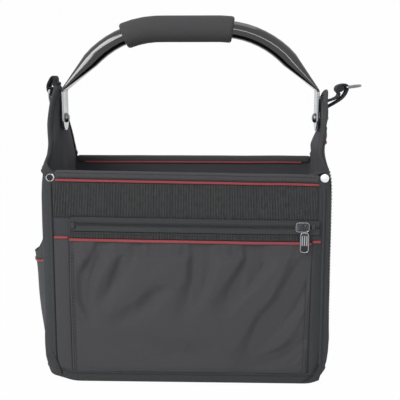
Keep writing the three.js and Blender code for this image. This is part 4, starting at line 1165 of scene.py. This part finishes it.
class TOOLBAG_OT_zip(bpy.types.Operator):
    """Zip: folded tapes, teeth, and finishes for the stops, the slider and its pull"""
    bl_idname = "toolbag.zip"
    bl_label = "Zip"

    def execute(self, context):
        made = finishes()

        # The tapes' sections (distance out, height), over the cloth folded beside the teeth
        low, high = span("zip_chain_upper")
        x0, x1 = low[0], high[0]
        back = abs(high[1])
        middle = (span("zip_chain_lower")[1][2] + low[2]) / 2
        upper = [
            (back, low[2]), (back + 0.9, low[2]), (back + 1.0, low[2] + 2.0), (back + 1.7, low[2] + 3.0),
            (back + 1.8, low[2] + 4.2), (back + 1.0, low[2] + 5.0), (back + 1.5, low[2] + 5.8),
            (back + 1.6, high[2] - 0.9), (back + 0.8, high[2]), (back, high[2]),
        ]
        front_bar("zip_tape_upper", x0, x1, upper, made["tape"], ("zip_chain_upper",))
        low, high = span("zip_chain_lower")
        lower = [
            (back, low[2]), (back + 0.8, low[2]), (back + 1.4, low[2] + 0.8), (back + 1.2, low[2] + 2.0),
            (back + 0.8, low[2] + 2.8), (back + 1.0, high[2] - 2.0), (back + 0.9, high[2]),
            (back, high[2]),
        ]
        front_bar("zip_tape_lower", x0, x1, lower, made["tape"], ("zip_chain_lower",))

        self.teeth(x0, x1, back, middle)
        self.bunch(x0, back, middle, made["ribbed"])
        for node in ("zip_slider", "zip_pull"):
            dress_node(node, made["zip_metal"])
        self.highlight_rims_and_shaded_tip(made)
        for node in ("zip_stop_left", "zip_stop_right"):
            dress_node(node, made["enamel"])
        return {"FINISHED"}

    def teeth(self, x0, x1, back, middle):
        """Coil teeth that cross the zip's middle line by turns."""
        pitch = sizes()["tooth_pitch"]
        thick, start, spare, half, slant, turn, stand = 1.1, 5, 8, 1.5, 0.3, 0.55, 1.5
        teeth = Thread()
        teeth.size["stitch_thick"] = thick
        count = int((x1 - x0 - spare) / pitch)
        for k in range(count):
            x = x0 + start + k * pitch
            centre = middle + (turn if k % 2 else -turn)
            ends = settled([
                (x, -back - stand, centre - half), (x + slant, -back - stand, centre + half)])
            teeth.stitch(ends[0], ends[1], (0, -1, 0))
        teeth.make("zip_teeth", finish="shaded")

    def bunch(self, x0, back, middle, finish):
        """The tapes' cloth, bunched and tucked in at the zip's left end."""
        before, stand, fall = 3, 0.6, 1.5 / 5
        rings = []
        for k, (reach, tall, swell) in enumerate(ZIP_BUNCH):
            rings.append([
                (x0 - before + reach, -back - stand - swell * math.cos(a),
                 middle - fall * k + tall * math.sin(a)) for a in circle(10)])
        rounded_tube("zip_end_tuck", settled(rings), finish)

    def highlight_rims_and_shaded_tip(self, made):
        """Bright steel rims round the slider and its pull and bright steel ridges, painted highlights of
        their edges; and the pull's sunk tip in dark thread, painted shade.
        """
        low, high = span("zip_slider")
        inset, behind, corner, radius = 0.5, 1.6, 3, 0.4
        plate = rounded_box(low[0] + inset, high[0] - inset, low[2], high[2], corner)
        bead("slider_rim", [(a, low[1] + behind, c) for a, c in plate], radius, made["steel"], "slider")
        low, high = span("zip_pull")
        face, neck, inset, corner, radius = low[1], 7.5, 0.4, 3.6, 0.5
        grip = rounded_box(low[0] + inset, high[0] - inset, low[2] + inset, high[2] - neck, corner)
        bead("pull_rim", [(a, face + inset, c) for a, c in grip], radius, made["steel"], "pull")
        middle, wide = (low[0] + high[0]) / 2, (high[0] - low[0]) / 2
        side, foot, centre, sunk, corner = 1.3, 1.4, low[2] + 5, 0.3, 2.4
        tip = rounded_box(low[0] + side, high[0] - side, low[2] + foot, low[2] + 1.5 * wide, corner)
        rings = [
            [(middle + share * (a - middle), face + sunk - out, centre + share * (c - centre))
             for a, c in tip]
            for share, out in ((1.0, -0.3), (1.0, 0.1), (0.85, 0.2), (0.4, 0.05), (0.02, 0.0))]
        # The sunk tip takes the dark thread finish: painted shade in the pull's recess
        grid_piece(
            "pull_tip", rings[::-1], made["thread"], body="pull", wrap=True, caps=True)
        # The pull's proud ridges take bright steel: painted highlight
        ridge = 0.2
        finish_some("zip_pull", made["steel"], lambda place: place.y < (face + ridge) * MM)


def finish_some(node, finish, chosen):
    """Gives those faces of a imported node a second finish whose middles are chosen."""
    obj = frame["nodes"][node]
    obj.data.materials.append(finish)
    for polygon in obj.data.polygons:
        if chosen(obj.matrix_world @ polygon.center):
            polygon.material_index = 1


def rounded_box(x0, x1, z0, z1, radius):
    """Points round a rectangle with rounded corners."""
    steps = 5
    corners = [(x1 - radius, z1 - radius, 0), (x0 + radius, z1 - radius, 90),
               (x0 + radius, z0 + radius, 180), (x1 - radius, z0 + radius, 270)]
    points = []
    for x, z, first in corners:
        for turn in np.radians(np.linspace(first, first + 90, steps)):
            points.append((x + radius * math.cos(turn), z + radius * math.sin(turn)))
    return points


def bead(name, points, radius, finish, body):
    """A closed round wire that lies in an upright plane."""
    points = np.array(points + points[:2], float)
    along = np.gradient(points, axis=0)[1:-1]
    along /= np.linalg.norm(along, axis=1)[:, None]
    rings = []
    for point, (ax, _, az) in zip(points[1:-1], along):
        rings.append([
            point + radius * (math.cos(a) * np.array((-az, 0, ax)) + math.sin(a) * np.array((0, 1, 0)))
            for a in circle(6)])
    rings.append(rings[0])
    return grid_piece(name, rings, finish, body=body, wrap=True, caps=True)


def dress_node(node, finish):
    """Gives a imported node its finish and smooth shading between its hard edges."""
    obj = frame["nodes"][node]
    obj.data.materials.clear()
    obj.data.materials.append(finish)
    for polygon in obj.data.polygons:
        polygon.use_smooth = True
    weld = obj.modifiers.new("weld", "WELD")
    weld.merge_threshold = SAME_PLACE
    split = obj.modifiers.new("hard edges", "EDGE_SPLIT")
    split.split_angle = math.radians(HARD_EDGE)


# Front pocket

# Folds of the pocket's face: places (x, height) along each valley, its width and its depth
POCKET_FOLDS = [
    ([(-100, 186), (-112, 158), (-124, 140), (-126, 110), (-123, 84)], 8.5, 1.0),
    ([(-58, 184), (-80, 152), (-88, 136), (-104, 108)], 9.0, 0.8),
    ([(-18, 126), (-38, 116), (-52, 103), (-84, 82)], 11.0, 0.75),
    ([(12, 186), (17, 158), (14, 130), (-2, 100)], 15.0, 1.25),
    ([(74, 186), (83, 158), (68, 136), (46, 108)], 14.5, 1.45),
    ([(140, 150), (118, 108), (99, 86), (76, 40)], 15.5, 1.7),
    ([(140, 56), (116, 43), (90, 32)], 9.0, 0.9),
    ([(-70, 62), (-20, 44), (24, 42)], 13.0, 0.6),
]


def valley(x, z, route, width):
    """How close points are to a fold's route, 1 on it and 0 away from it, fading to its ends."""
    gap, place = route_gap(x, z, route)
    fade = np.sin(np.pi * np.clip(0.12 + 0.8 * place, 0, 1)) ** 0.7
    return np.exp(-((gap / width) ** 2)) * fade


# How the pocket's cloth behaves while it settles
CLOTH = {
    "quality": 6, "mass": 0.25, "tension_stiffness": 12, "compression_stiffness": 8,
    "shear_stiffness": 4, "bending_stiffness": 0.6, "shrink_min": -0.012, "use_pressure": True,
    "uniform_pressure_force": 1.2, "vertex_group_mass": "sewn",
}
CLOTH_GRAVITY = 0.35


def relax_cloth(obj, pinned, frames, cap):
    """Lets a sheet settle as cloth, each point by no more than the cap, and keeps the result."""
    count = len(obj.data.vertices)
    before = np.zeros(count * 3, np.float32)
    obj.data.vertices.foreach_get("co", before)
    group = obj.vertex_groups.new(name="sewn")
    group.add(pinned, 1.0, "REPLACE")
    modifier = obj.modifiers.new("drape", "CLOTH")
    for name, value in CLOTH.items():
        setattr(modifier.settings, name, value)
    modifier.settings.effector_weights.gravity = CLOTH_GRAVITY
    modifier.point_cache.frame_start = 1
    modifier.point_cache.frame_end = frames
    for number in range(1, frames + 1):
        bpy.context.scene.frame_set(number)
    graph = bpy.context.evaluated_depsgraph_get()
    settled_mesh = obj.evaluated_get(graph).to_mesh()
    after = np.zeros(count * 3, np.float32)
    settled_mesh.vertices.foreach_get("co", after)
    obj.evaluated_get(graph).to_mesh_clear()
    obj.modifiers.remove(modifier)
    move = (after - before).reshape(-1, 3)
    reach = np.linalg.norm(move, axis=1)
    no_move = 1e-9
    move *= (np.minimum(reach, cap * MM) / np.maximum(reach, no_move))[:, None]
    obj.data.vertices.foreach_set("co", (before.reshape(-1, 3) + move).ravel())
    obj.data.update()
    bpy.context.scene.frame_set(1)


class TOOLBAG_OT_front_pocket(bpy.types.Operator):
    """Zip pocket: its creased face, the ribbed strip and piping above it, and the facings beside it"""
    bl_idname = "toolbag.front_pocket"
    bl_label = "Front pocket"

    def execute(self, context):
        made = finishes()
        thread = Thread()
        self.face(thread, made["facing"])
        self.top_strip(thread, made["ribbed"])
        self.piping("pocket_cord", "pocket_piping", made)
        for name in ("left", "right"):
            self.piping(f"side_cord_{name}", f"side_piping_{name}", made)
            self.facing(name, made)
        thread.make("pocket_stitches")
        return {"FINISHED"}

    def folded(self, low, high, cols, rows):
        """The face's points before the cloth settles: swollen, folded and clear of the zip's pull."""
        fold_depth = sizes()["fold_depth"]
        narrower_foot, edge, rise, head, swell = 3.2, 1.2, 2.2, 0.4, 3.5
        u, v = np.meshgrid(np.linspace(0, 1, cols), np.linspace(0, 1, rows))
        x = low[0] + u * (high[0] - low[0])
        x -= narrower_foot * smooth(0.6, 1.0, u) * (1 - v)
        z = low[2] + v * (high[2] - low[2])
        rise_left = smooth(0.0, 0.035, u)
        rise_right = smooth(1.0, 0.992, u)
        rise_low = smooth(0.0, 0.05, v)
        rise_high = smooth(1.0, 0.985, v)
        out = edge + rise * rise_left * rise_right * rise_low + head * rise_high
        out += swell * np.sin(np.pi * u) ** 0.6 * np.sin(np.pi * v) ** 0.7

        # Each valley has a lower ridge beside it
        ridge, ridge_width, aside, above = 0.4, 1.1, 1.3, 0.6
        for route, width, depth in POCKET_FOLDS:
            out -= fold_depth * depth * valley(x, z, route, width) * rise_right
            shifted = [(a - width * aside, b + width * above) for a, b in route]
            beside = valley(x, z, shifted, width * ridge_width)
            out += fold_depth * ridge * depth * beside * rise_right
        flat = np.stack([x, np.zeros_like(x), z], 2).reshape(-1, 3)
        uneven, uneven_scale, least = 0.5, 22, 0.6
        slow = wander(flat, uneven_scale, "pocket").reshape(x.shape)
        out += uneven * slow * np.sin(np.pi * u) * np.sin(np.pi * v)
        out = np.maximum(out, least)
        grid = settled(np.stack([x, -abs(high[1]) - out, z], 2))

        # Near the zip the face stays behind its pull
        gap, free, pull_foot = 1.4, 5, (158, 168)
        clear = -span("zip_pull")[1][1] - gap + free * (1 - smooth(*pull_foot, grid[:, :, 2]))
        grid[:, :, 1] = np.maximum(grid[:, :, 1], -clear)
        return grid

    def face(self, thread, finish):
        """The pocket's creased face, its stitches and the roll along its right edge."""
        low, high = span("zip_pocket")
        wide, tall = high[0] - low[0], high[2] - low[2]
        cols, rows = 118, 68

        # How long the cloth settles and how far at most, and the cloth turned in at its edges
        frames, cap, turned_in = 14, 1.0, 16
        grid = self.folded(low, high, cols, rows)
        pocket = grid_piece("pocket_face", grid, finish, ("zip_pocket",))
        edge = [r * cols + c for r in range(rows) for c in range(cols)
                if r in (0, rows - 1) or c in (0, cols - 1)]
        relax_cloth(pocket, edge, frames, cap)
        cloth_thick = 1.0
        thicken(pocket, cloth_thick)
        round_off(pocket)
        insets, stand = (1.6, 4.6), 0.35
        columns = [int(round(inset / wide * (cols - 1))) for inset in insets]
        for column in columns + [cols - 3]:
            thread.line(grid[:, column] - (0, stand, 0), (0, -1, 0))

        half_wide, half_deep, behind = 1.0, 1.5, 1.1
        rings = [
            [(px + half_wide * math.cos(a), py + behind + half_deep * math.sin(a), pz)
             for a in circle(8)] for px, py, pz in grid[::2, -1]]
        rounded_tube("pocket_edge_roll", rings, finish)

    def top_strip(self, thread, finish):
        """The ribbed strip along the pocket's top, with a row of stitches."""
        low, high = span("pocket_strip")
        out = abs(high[1])
        strip = [
            (out, low[2]), (out + 1.2, low[2]), (out + 1.5, low[2] + 1.5), (out + 1.5, high[2] - 2.4),
            (out + 1.2, high[2] - 1.6), (out + 1.7, high[2] - 0.8), (out + 1.0, high[2]), (out, high[2]),
        ]
        front_bar(
            "pocket_top_strip", low[0], high[0], strip, finish, ("pocket_strip",))
        xs = np.linspace(low[0] + 3, high[0] - 3, 80)
        stand, below_top = 1.6, 3.0
        thread.line(settled([(a, -out - stand, high[2] - below_top) for a in xs]), (0, -1, 0))

    def piping(self, name, node, made):
        """A half round red cord where a packed piping is."""
        low, high = span(node)
        further, fuller = 0.4, 0.45
        base, reach = abs(high[1]), high[1] - low[1] + further
        middle, tall = (low[2] + high[2]) / 2, (high[2] - low[2]) / 2 + fuller
        section = [(base + reach * math.cos(a), middle + tall * math.sin(a)) for a in HALF_ROUND]
        front_bar(name, low[0], high[0], section, made["red"], (node,))

    def facing(self, name, made):
        """The narrow cloth between the pocket and the corner seam."""
        low, high = span(f"side_facing_{name}")
        cols, rows = 12, 60
        u, v = np.meshgrid(np.linspace(0, 1, cols), np.linspace(0, 1, rows))
        x = low[0] + u * (high[0] - low[0])
        z = low[2] + v * (high[2] - low[2])
        thick, stand, swell, uneven, uneven_scale, sunk = 0.5, 0.6, 0.9, 0.5, 14, 1.6
        pinch = np.sin(np.pi * u) ** 0.5
        flat = np.stack([x, x * 0, z * 0.6], 2).reshape(-1, 3)
        slow = wander(flat, uneven_scale, "facing").reshape(x.shape)
        out = abs(high[1]) + stand + swell * pinch + uneven * pinch * slow
        finish = made["facing"]
        if name == "right":
            out -= sunk * smooth(0.1, 0.9, u)
            # The right facing takes the darker tape tone: painted shade of its recess beside the pocket's
            # edge
            finish = made["shaded"]
        panel = grid_piece(
            f"side_cloth_{name}", settled(np.stack([x, -out, z], 2)), finish,
            (f"side_facing_{name}",))
        thicken(panel, thick)
        round_off(panel)


# End pockets

class TOOLBAG_OT_end_pockets(bpy.types.Operator):
    """Pockets on both ends: a gaping one on the left and a flat, taller one on the right"""
    bl_idname = "toolbag.end_pockets"
    bl_label = "End pockets"

    def execute(self, context):
        self.gaping()
        self.flat()
        return {"FINISHED"}

    def gaping(self):
        """The left pocket: it stands off the wall, and its mouth dips in the middle."""
        bottom = span("end_pocket_left")[0][2]
        band_low, band_high = span("end_pocket_band_left")
        half_wide = round(span("end_pocket_left")[1][1], 3)
        fuller, dip, puff_depth, band_tall = 0.8, 12.5, 0.9, 11.5
        bulge = -band_low[0] - HALF_WIDTH + fuller
        lip = band_high[2] - dip

        def mouth(t):
            """Height of the mouth across the pocket."""
            return lip + 19 * t * t + 25 * t ** 4

        def trim(t):
            """Height of the piping across the pocket."""
            return lip - band_tall + 14 * t * t

        def stand(t, z):
            """How far the cloth stands off the wall."""
            share = np.clip((z - bottom) / (mouth(t) - bottom), 0, 1)
            puff = puff_depth * np.sin(9 * t + z / 16) * share * (1 - t * t)
            return bulge * (1 - t * t) * share ** 0.2 + puff

        self.pocket("left", -1, stand, lambda z: np.full_like(z, half_wide), bottom, trim, mouth)

    def flat(self):
        """The right pocket: it lies on the wall and reaches up into the raised end."""
        bottom = span("end_pocket_right")[0][2]
        band_low, band_high = span("end_pocket_band_right")
        half_wide = round(span("end_pocket_right")[1][1], 3) + 0.5
        swell, margin, seam, dip = 0.3, 10.5, 4, 8
        self.pocket(
            "right", 1, lambda t, z: swell * (1 - t * t),
            lambda z: np.minimum(half_wide, gable_half(z) - margin), bottom,
            lambda t: np.full_like(t, band_low[2] + seam), lambda t: band_high[2] - dip * (1 - t * t))

    def pocket(self, name, side, stand, half, bottom, trim, mouth):
        """One pocket: its cloth, the ribbed band at its mouth, the piping between them, its stitches.

        Across the pocket t runs from -1 to 1. The stand off the wall goes by t and height, the half
        width by height, and the heights of the piping and the mouth by t.
        """
        made = finishes()
        t = np.linspace(-1, 1, 49)
        cloth_thick, cloth_out, band_thick, band_out, stitch_out = 1.6, 2.3, 1.9, 2.4, 2.6

        def sheet(low, high, rows, out):
            """Points of a sheet between two heights, a little off the wall."""
            v = np.linspace(0, 1, rows)[:, None]
            z = low + v * (high - low)
            spread = np.broadcast_to(t, z.shape)
            x = HALF_WIDTH + out + stand(spread, z)
            points = np.stack([side * x, spread * half(z), z], 2)
            return settled(points if side > 0 else points[:, ::-1])

        edge = trim(t)
        body = grid_piece(
            f"end_pocket_cloth_{name}", sheet(np.full_like(t, bottom), edge, 40, cloth_out),
            made["canvas"], (f"end_pocket_{name}",))
        thicken(body, cloth_thick)
        round_off(body)
        seam = 0.3
        lip = grid_piece(
            f"end_pocket_webbing_{name}", sheet(edge + seam, mouth(t), 10, band_out),
            made["ribbed"], (f"end_pocket_band_{name}",))
        thicken(lip, band_thick)
        round_off(lip)
        wide = float(np.max(half(np.array([bottom])))) * 2
        self.cord(name, side, stand, half, trim, t, made["red"])

        thread = Thread()
        out = HALF_WIDTH + stitch_out
        for share in (0.12, 0.88):
            z = edge + seam + share * (mouth(t) - edge - seam)
            thread.line(settled(np.stack([side * (out + stand(t, z)), t * half(z), z], 1)), (side, 0, 0))
        inset = 2.0
        for end in (-1, 1):
            z = np.linspace(bottom + inset, float(mouth(end)) - inset, 40)
            y = end * (half(z) - inset)
            x = out + stand(y / half(z), z)
            thread.line(settled(np.stack([side * x, y, z], 1)), (side, 0, 0))
        thread.make(f"end_pocket_stitches_{name}")

    def cord(self, name, side, stand, half, trim, t, finish):
        """The red piping across a pocket, under its band."""
        radius, out = 1.8, 2.4
        rings = []
        for share in t:
            z = float(trim(np.array([share]))[0])
            x = HALF_WIDTH + out + float(stand(share, z))
            y = share * float(half(z))
            rings.append([
                (side * (x + radius * math.cos(a)), y, z + radius * math.sin(a)) for a in HALF_ROUND])
        rings = settled(rings)
        if side < 0:
            rings = rings[:, ::-1]
        rounded_tube(
            f"end_pocket_cord_{name}", rings, finish, (f"end_pocket_piping_{name}",))


# Handle, fastenings and rings

def copied_cloth(node, name, voxel, finish, body, passes):
    """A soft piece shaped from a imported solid: remeshed finely and smoothed."""
    source = frame["nodes"][node].data
    obj = bpy.data.objects.new(name, source.copy())
    bpy.context.scene.collection.objects.link(obj)
    weld = obj.modifiers.new("weld", "WELD")
    weld.merge_threshold = SAME_PLACE
    remesh = obj.modifiers.new("remesh", "REMESH")
    remesh.mode = "VOXEL"
    remesh.voxel_size = voxel * MM
    remesh.use_smooth_shade = True
    relax = obj.modifiers.new("smooth", "SMOOTH")
    relax.factor = 0.5
    relax.iterations = passes
    graph = bpy.context.evaluated_depsgraph_get()
    mesh = bpy.data.meshes.new_from_object(obj.evaluated_get(graph))
    mesh.name = name
    obj.modifiers.clear()
    obj.data = mesh
    mesh.materials.clear()
    mesh.materials.append(finish)
    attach(obj, body)
    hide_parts(node)
    return obj


class TOOLBAG_OT_handle(bpy.types.Operator):
    """Handle: enamel on the steel tube, and the foam grip"""
    bl_idname = "toolbag.handle"
    bl_label = "Handle"

    def execute(self, context):
        made = finishes()
        dress_node("handle_tube", made["enamel"])
        bare = (PIVOT + STRIP_REACH) * MM
        finish_some("handle_tube", made["steel"], lambda place: place.z < bare)
        grip = copied_cloth(
            "handle_grip", "foam_grip", 1.4, made["foam"], "handle", passes=6)
        return {"FINISHED"}


class TOOLBAG_OT_fastenings(bpy.types.Operator):
    """Rivets, bolts, spacers, washers and nuts"""
    bl_idname = "toolbag.fastenings"
    bl_label = "Fastenings"

    def execute(self, context):
        made = finishes()
        kinds = {
            "rivet": "nickel", "handle_bolt": "dark_steel", "handle_washer": "steel",
            "handle_spacer": "steel", "handle_nut": "steel",
        }
        for side in ("left", "right"):
            for kind, finish in kinds.items():
                dress_node(f"{kind}_{side}", made[finish])
        # The left rivet's hollow gets a dark dish: painted shade
        self.open_rivet(made["thread"])
        return {"FINISHED"}

    def open_rivet(self, finish):
        """The left rivet's dish in dark thread, painted shade for its hollow: rings by share of its radius
        and by how far out of its head.
        """
        low, high = span("rivet_left")
        x, z = (low[0] + high[0]) / 2, (low[2] + high[2]) / 2
        radius = (high[0] - low[0]) / 2
        rings = []
        for share, out in ((0.78, -0.3), (0.78, 0.15), (0.7, 0.25), (0.35, 0.1), (0.02, 0.05)):
            rings.append([
                (x + radius * share * math.cos(a), low[1] - out, z + radius * share * math.sin(a))
                for a in circle(24)])
        grid_piece("rivet_dish_left", rings, finish, wrap=True, caps=True)


class TOOLBAG_OT_rings(bpy.types.Operator):
    """D-rings and the webbing loops that hold them"""
    bl_idname = "toolbag.rings"
    bl_label = "Rings"

    def execute(self, context):
        made = finishes()
        for side in ("left", "right"):
            # The right ring takes the darker steel: painted shade, the two rings being alike
            dress_node(f"d_ring_{side}", made["steel" if side == "left" else "dark_steel"])
            self.roll(side, made["webbing"])
            copied_cloth(
                f"ring_loop_{side}", f"loop_webbing_{side}", 0.7, made["webbing"],
                "shell", passes=4)
        return {"FINISHED"}

    def roll(self, side, finish):
        """The webbing's sleeve round the bar of a ring, and its end rolled up beside the bar."""
        joint = next(one for one in frame["joints"] if one["name"] == f"ring_{side}_swing")
        x, _, z = (value / MM for value in joint["pos_m"])
        half = span(f"ring_loop_{side}")[1][1] - 1.0
        aside, above, core = (-6.6, -1.2, 4.4) if side == "right" else (6.6, 7.2, 3.8)

        def ring(radius, y, a, b):
            """A slightly three-cornered ring round a point, at a distance from the middle."""
            return [(a + (radius + 0.2 * math.sin(3 * turn)) * math.cos(turn), y,
                     b + (radius + 0.2 * math.sin(3 * turn)) * math.sin(turn)) for turn in circle(20)]

        bore, rim, outside = 2.5, 3.1, 3.8
        sleeve = [
            (bore, -half), (rim, -half - 0.3), (outside, -half + 0.6), (outside, half - 0.6),
            (rim, half + 0.3), (bore, half), (bore, -half)]
        grid_piece(
            f"webbing_sleeve_{side}", [ring(radius, y, x, z) for radius, y in sleeve], finish,
            wrap=True)
        heart, shoulder, bevel = 0.4, 1.4, 0.2
        rolled = [
            (heart, -half), (core - shoulder, -half - 0.4), (core - bevel, -half + 0.4),
            (core, -half / 2), (core, half / 2), (core - bevel, half - 0.4),
            (core - shoulder, half + 0.4), (heart, half)]
        grid_piece(
            f"webbing_roll_{side}", [ring(radius, y, x + aside, z + above) for radius, y in rolled],
            finish, wrap=True, caps=True)


# Stage

# Each light's place, the point it faces, its two sides in metres, its power in watts, and the
# direction that its first side follows
LIGHTS = {
    "key_light": ((-0.68, -1.2, 1.05), (-0.03, 0, 0.3), (1.3, 0.34), 10.4, (-1, 0.5, 0.9)),
    "side_light": ((-1.7, -1.5, 1.5), (0, 0, 0.2), (1.3, 1.3), 8, (1, 0, 0)),
    "fill_light": ((1.6, -1.5, 1.0), (0, 0, 0.2), (1.3, 1.3), 0.8, (1, 0, 0)),
    "top_light": ((0.1, 0.2, 2.0), (0, 0, 0.3), (1.2, 1.2), 5.5, (1, 0, 0)),
    "window_light": ((0.16, -1.4, 0.62), (0, 0, 0.38), (0.5, 0.2), 1.7, (1, 0, 0)),
}

# The camera that the photograph was fitted with: place in metres, turn in degrees, lens and sensor
# width in millimetres
CAMERA_PLACE = (0.0419, -0.9557, 0.3779)
CAMERA_TURN = (80.36, 0, 1.73)
CAMERA_LENS = 65.2
CAMERA_SENSOR = 36

# Light from all round: its colour and strength; and the backdrop's own share of white
WORLD_TONE = (0.94, 0.96, 1.0)
WORLD_STRENGTH = 0.19
PAPER_TONE = (0.93, 0.93, 0.935)
PAPER_GLOW = 0.985
WHITE = (1, 1, 1)

# Backdrop in metres: half width, how far its floor comes forward and goes back before it curves
# up, the curve's radius, and the top
BACKDROP = {"half": 5.0, "fore": -4.0, "aft": 1.2, "start": 2.0, "radius": 0.8, "top": 4.0}


class TOOLBAG_OT_stage(bpy.types.Operator):
    """Pale backdrop, soft light and the camera"""
    bl_idname = "toolbag.stage"
    bl_label = "Stage"

    def execute(self, context):
        scene = context.scene
        scene.view_settings.view_transform = "Standard"
        self.backdrop()
        for name, (place, aim, shape, power, along) in LIGHTS.items():
            self.light(name, place, aim, shape, power, along)
        self.world(scene)
        lens = bpy.data.cameras.new("camera")
        lens.lens = CAMERA_LENS
        lens.sensor_width = CAMERA_SENSOR
        camera = bpy.data.objects.new("camera", lens)
        camera.location = CAMERA_PLACE
        camera.rotation_euler = [math.radians(turn) for turn in CAMERA_TURN]
        scene.collection.objects.link(camera)
        scene.camera = camera
        return {"FINISHED"}

    def light(self, name, place, aim, shape, power, along):
        """A soft light that faces a point, with its first side along a direction."""
        data = bpy.data.lights.new(name, "AREA")
        data.shape = "RECTANGLE"
        data.energy = power
        data.size, data.size_y = shape
        lamp = bpy.data.objects.new(name, data)
        lamp.location = place
        behind = (Vector(place) - Vector(aim)).normalized()
        up = behind.cross(Vector(along)).normalized()
        lamp.rotation_euler = Matrix((up.cross(behind), up, behind)).transposed().to_euler()
        bpy.context.scene.collection.objects.link(lamp)

    def seen_directly(self, graph):
        """1 for rays that show the background: from the camera, in reflections and through glass."""
        rays = graph.node("ShaderNodeLightPath").outputs
        seen = graph.math("MAXIMUM", rays["Is Camera Ray"], rays["Is Glossy Ray"])
        return graph.math("MAXIMUM", seen, rays["Is Transmission Ray"])

    def world(self, scene):
        """White where it is seen, softer where it lights."""
        world = bpy.data.worlds.new("studio")
        graph = empty_graph(world)
        lit = graph.plain("ShaderNodeBackground", WORLD_TONE, WORLD_STRENGTH)
        shown = graph.plain("ShaderNodeBackground", WHITE, 1.0)
        mixed = graph.one_of_two(self.seen_directly(graph), lit, shown)
        graph.join(mixed, graph.node("ShaderNodeOutputWorld").inputs[0])
        scene.world = world

    def backdrop(self):
        """A floor that curves up behind the bag, almost pure white where it is seen."""
        material = bpy.data.materials.new("Backdrop paper")
        graph = empty_graph(material)
        paper = graph.plain("ShaderNodeBsdfDiffuse", PAPER_TONE)
        glow = graph.plain("ShaderNodeEmission", WHITE, 1.0)
        share = graph.math("MULTIPLY", self.seen_directly(graph), PAPER_GLOW)
        mixed = graph.one_of_two(share, paper, glow)
        graph.join(mixed, graph.node("ShaderNodeOutputMaterial").inputs[0])
        start, radius = BACKDROP["start"], BACKDROP["radius"]
        turn = [(start + radius * math.sin(a), radius - radius * math.cos(a))
                for a in np.linspace(0, math.pi / 2, 12)]
        side_on = [(BACKDROP["fore"], 0.0), (BACKDROP["aft"], 0.0)] + turn
        side_on.append((start + radius, BACKDROP["top"]))
        points = [(x, y, z) for y, z in side_on for x in (-BACKDROP["half"], BACKDROP["half"])]
        faces = [(2 * k, 2 * k + 1, 2 * k + 3, 2 * k + 2) for k in range(len(side_on) - 1)]
        mesh = bpy.data.meshes.new("backdrop")
        mesh.from_pydata(points, [], faces)
        mesh.materials.append(material)
        for polygon in mesh.polygons:
            polygon.use_smooth = True
        obj = bpy.data.objects.new("backdrop", mesh)
        bpy.context.scene.collection.objects.link(obj)


STEPS = [
    TOOLBAG_OT_stage, TOOLBAG_OT_walls, TOOLBAG_OT_base, TOOLBAG_OT_bindings, TOOLBAG_OT_rim,
    TOOLBAG_OT_zip, TOOLBAG_OT_front_pocket, TOOLBAG_OT_end_pockets, TOOLBAG_OT_handle,
    TOOLBAG_OT_fastenings, TOOLBAG_OT_rings,
]


class TOOLBAG_PT_panel(bpy.types.Panel):
    """Lists the steps, sizes and colours of the bag"""
    bl_label = "Tool Bag"
    bl_idname = "TOOLBAG_PT_panel"
    bl_space_type = "VIEW_3D"
    bl_region_type = "UI"
    bl_category = "Tool Bag"

    def draw(self, context):
        for step in STEPS:
            self.layout.operator(step.bl_idname)
        for group in (context.scene.tool_bag_sizes, context.scene.tool_bag_colours):
            for name in type(group).__annotations__:
                self.layout.prop(group, name)


CLASSES = [BagSizes, BagColours, *STEPS, TOOLBAG_PT_panel]


def register():
    """Registers the classes and the scene's properties."""
    for item in CLASSES:
        bpy.utils.register_class(item)
    bpy.types.Scene.tool_bag_sizes = bpy.props.PointerProperty(type=BagSizes)
    bpy.types.Scene.tool_bag_colours = bpy.props.PointerProperty(type=BagColours)


def unregister():
    """Takes the classes and the scene's properties away."""
    del bpy.types.Scene.tool_bag_colours
    del bpy.types.Scene.tool_bag_sizes
    for item in reversed(CLASSES):
        bpy.utils.unregister_class(item)


def main():
    """Builds the bag step by step."""
    register()
    bpy.ops.toolbag.stage()
    bpy.ops.toolbag.walls()
    bpy.ops.toolbag.base()
    bpy.ops.toolbag.bindings()
    bpy.ops.toolbag.rim()
    bpy.ops.toolbag.zip()
    bpy.ops.toolbag.front_pocket()
    bpy.ops.toolbag.end_pockets()
    bpy.ops.toolbag.handle()
    bpy.ops.toolbag.fastenings()
    bpy.ops.toolbag.rings()


if __name__ == "__main__":
    main()
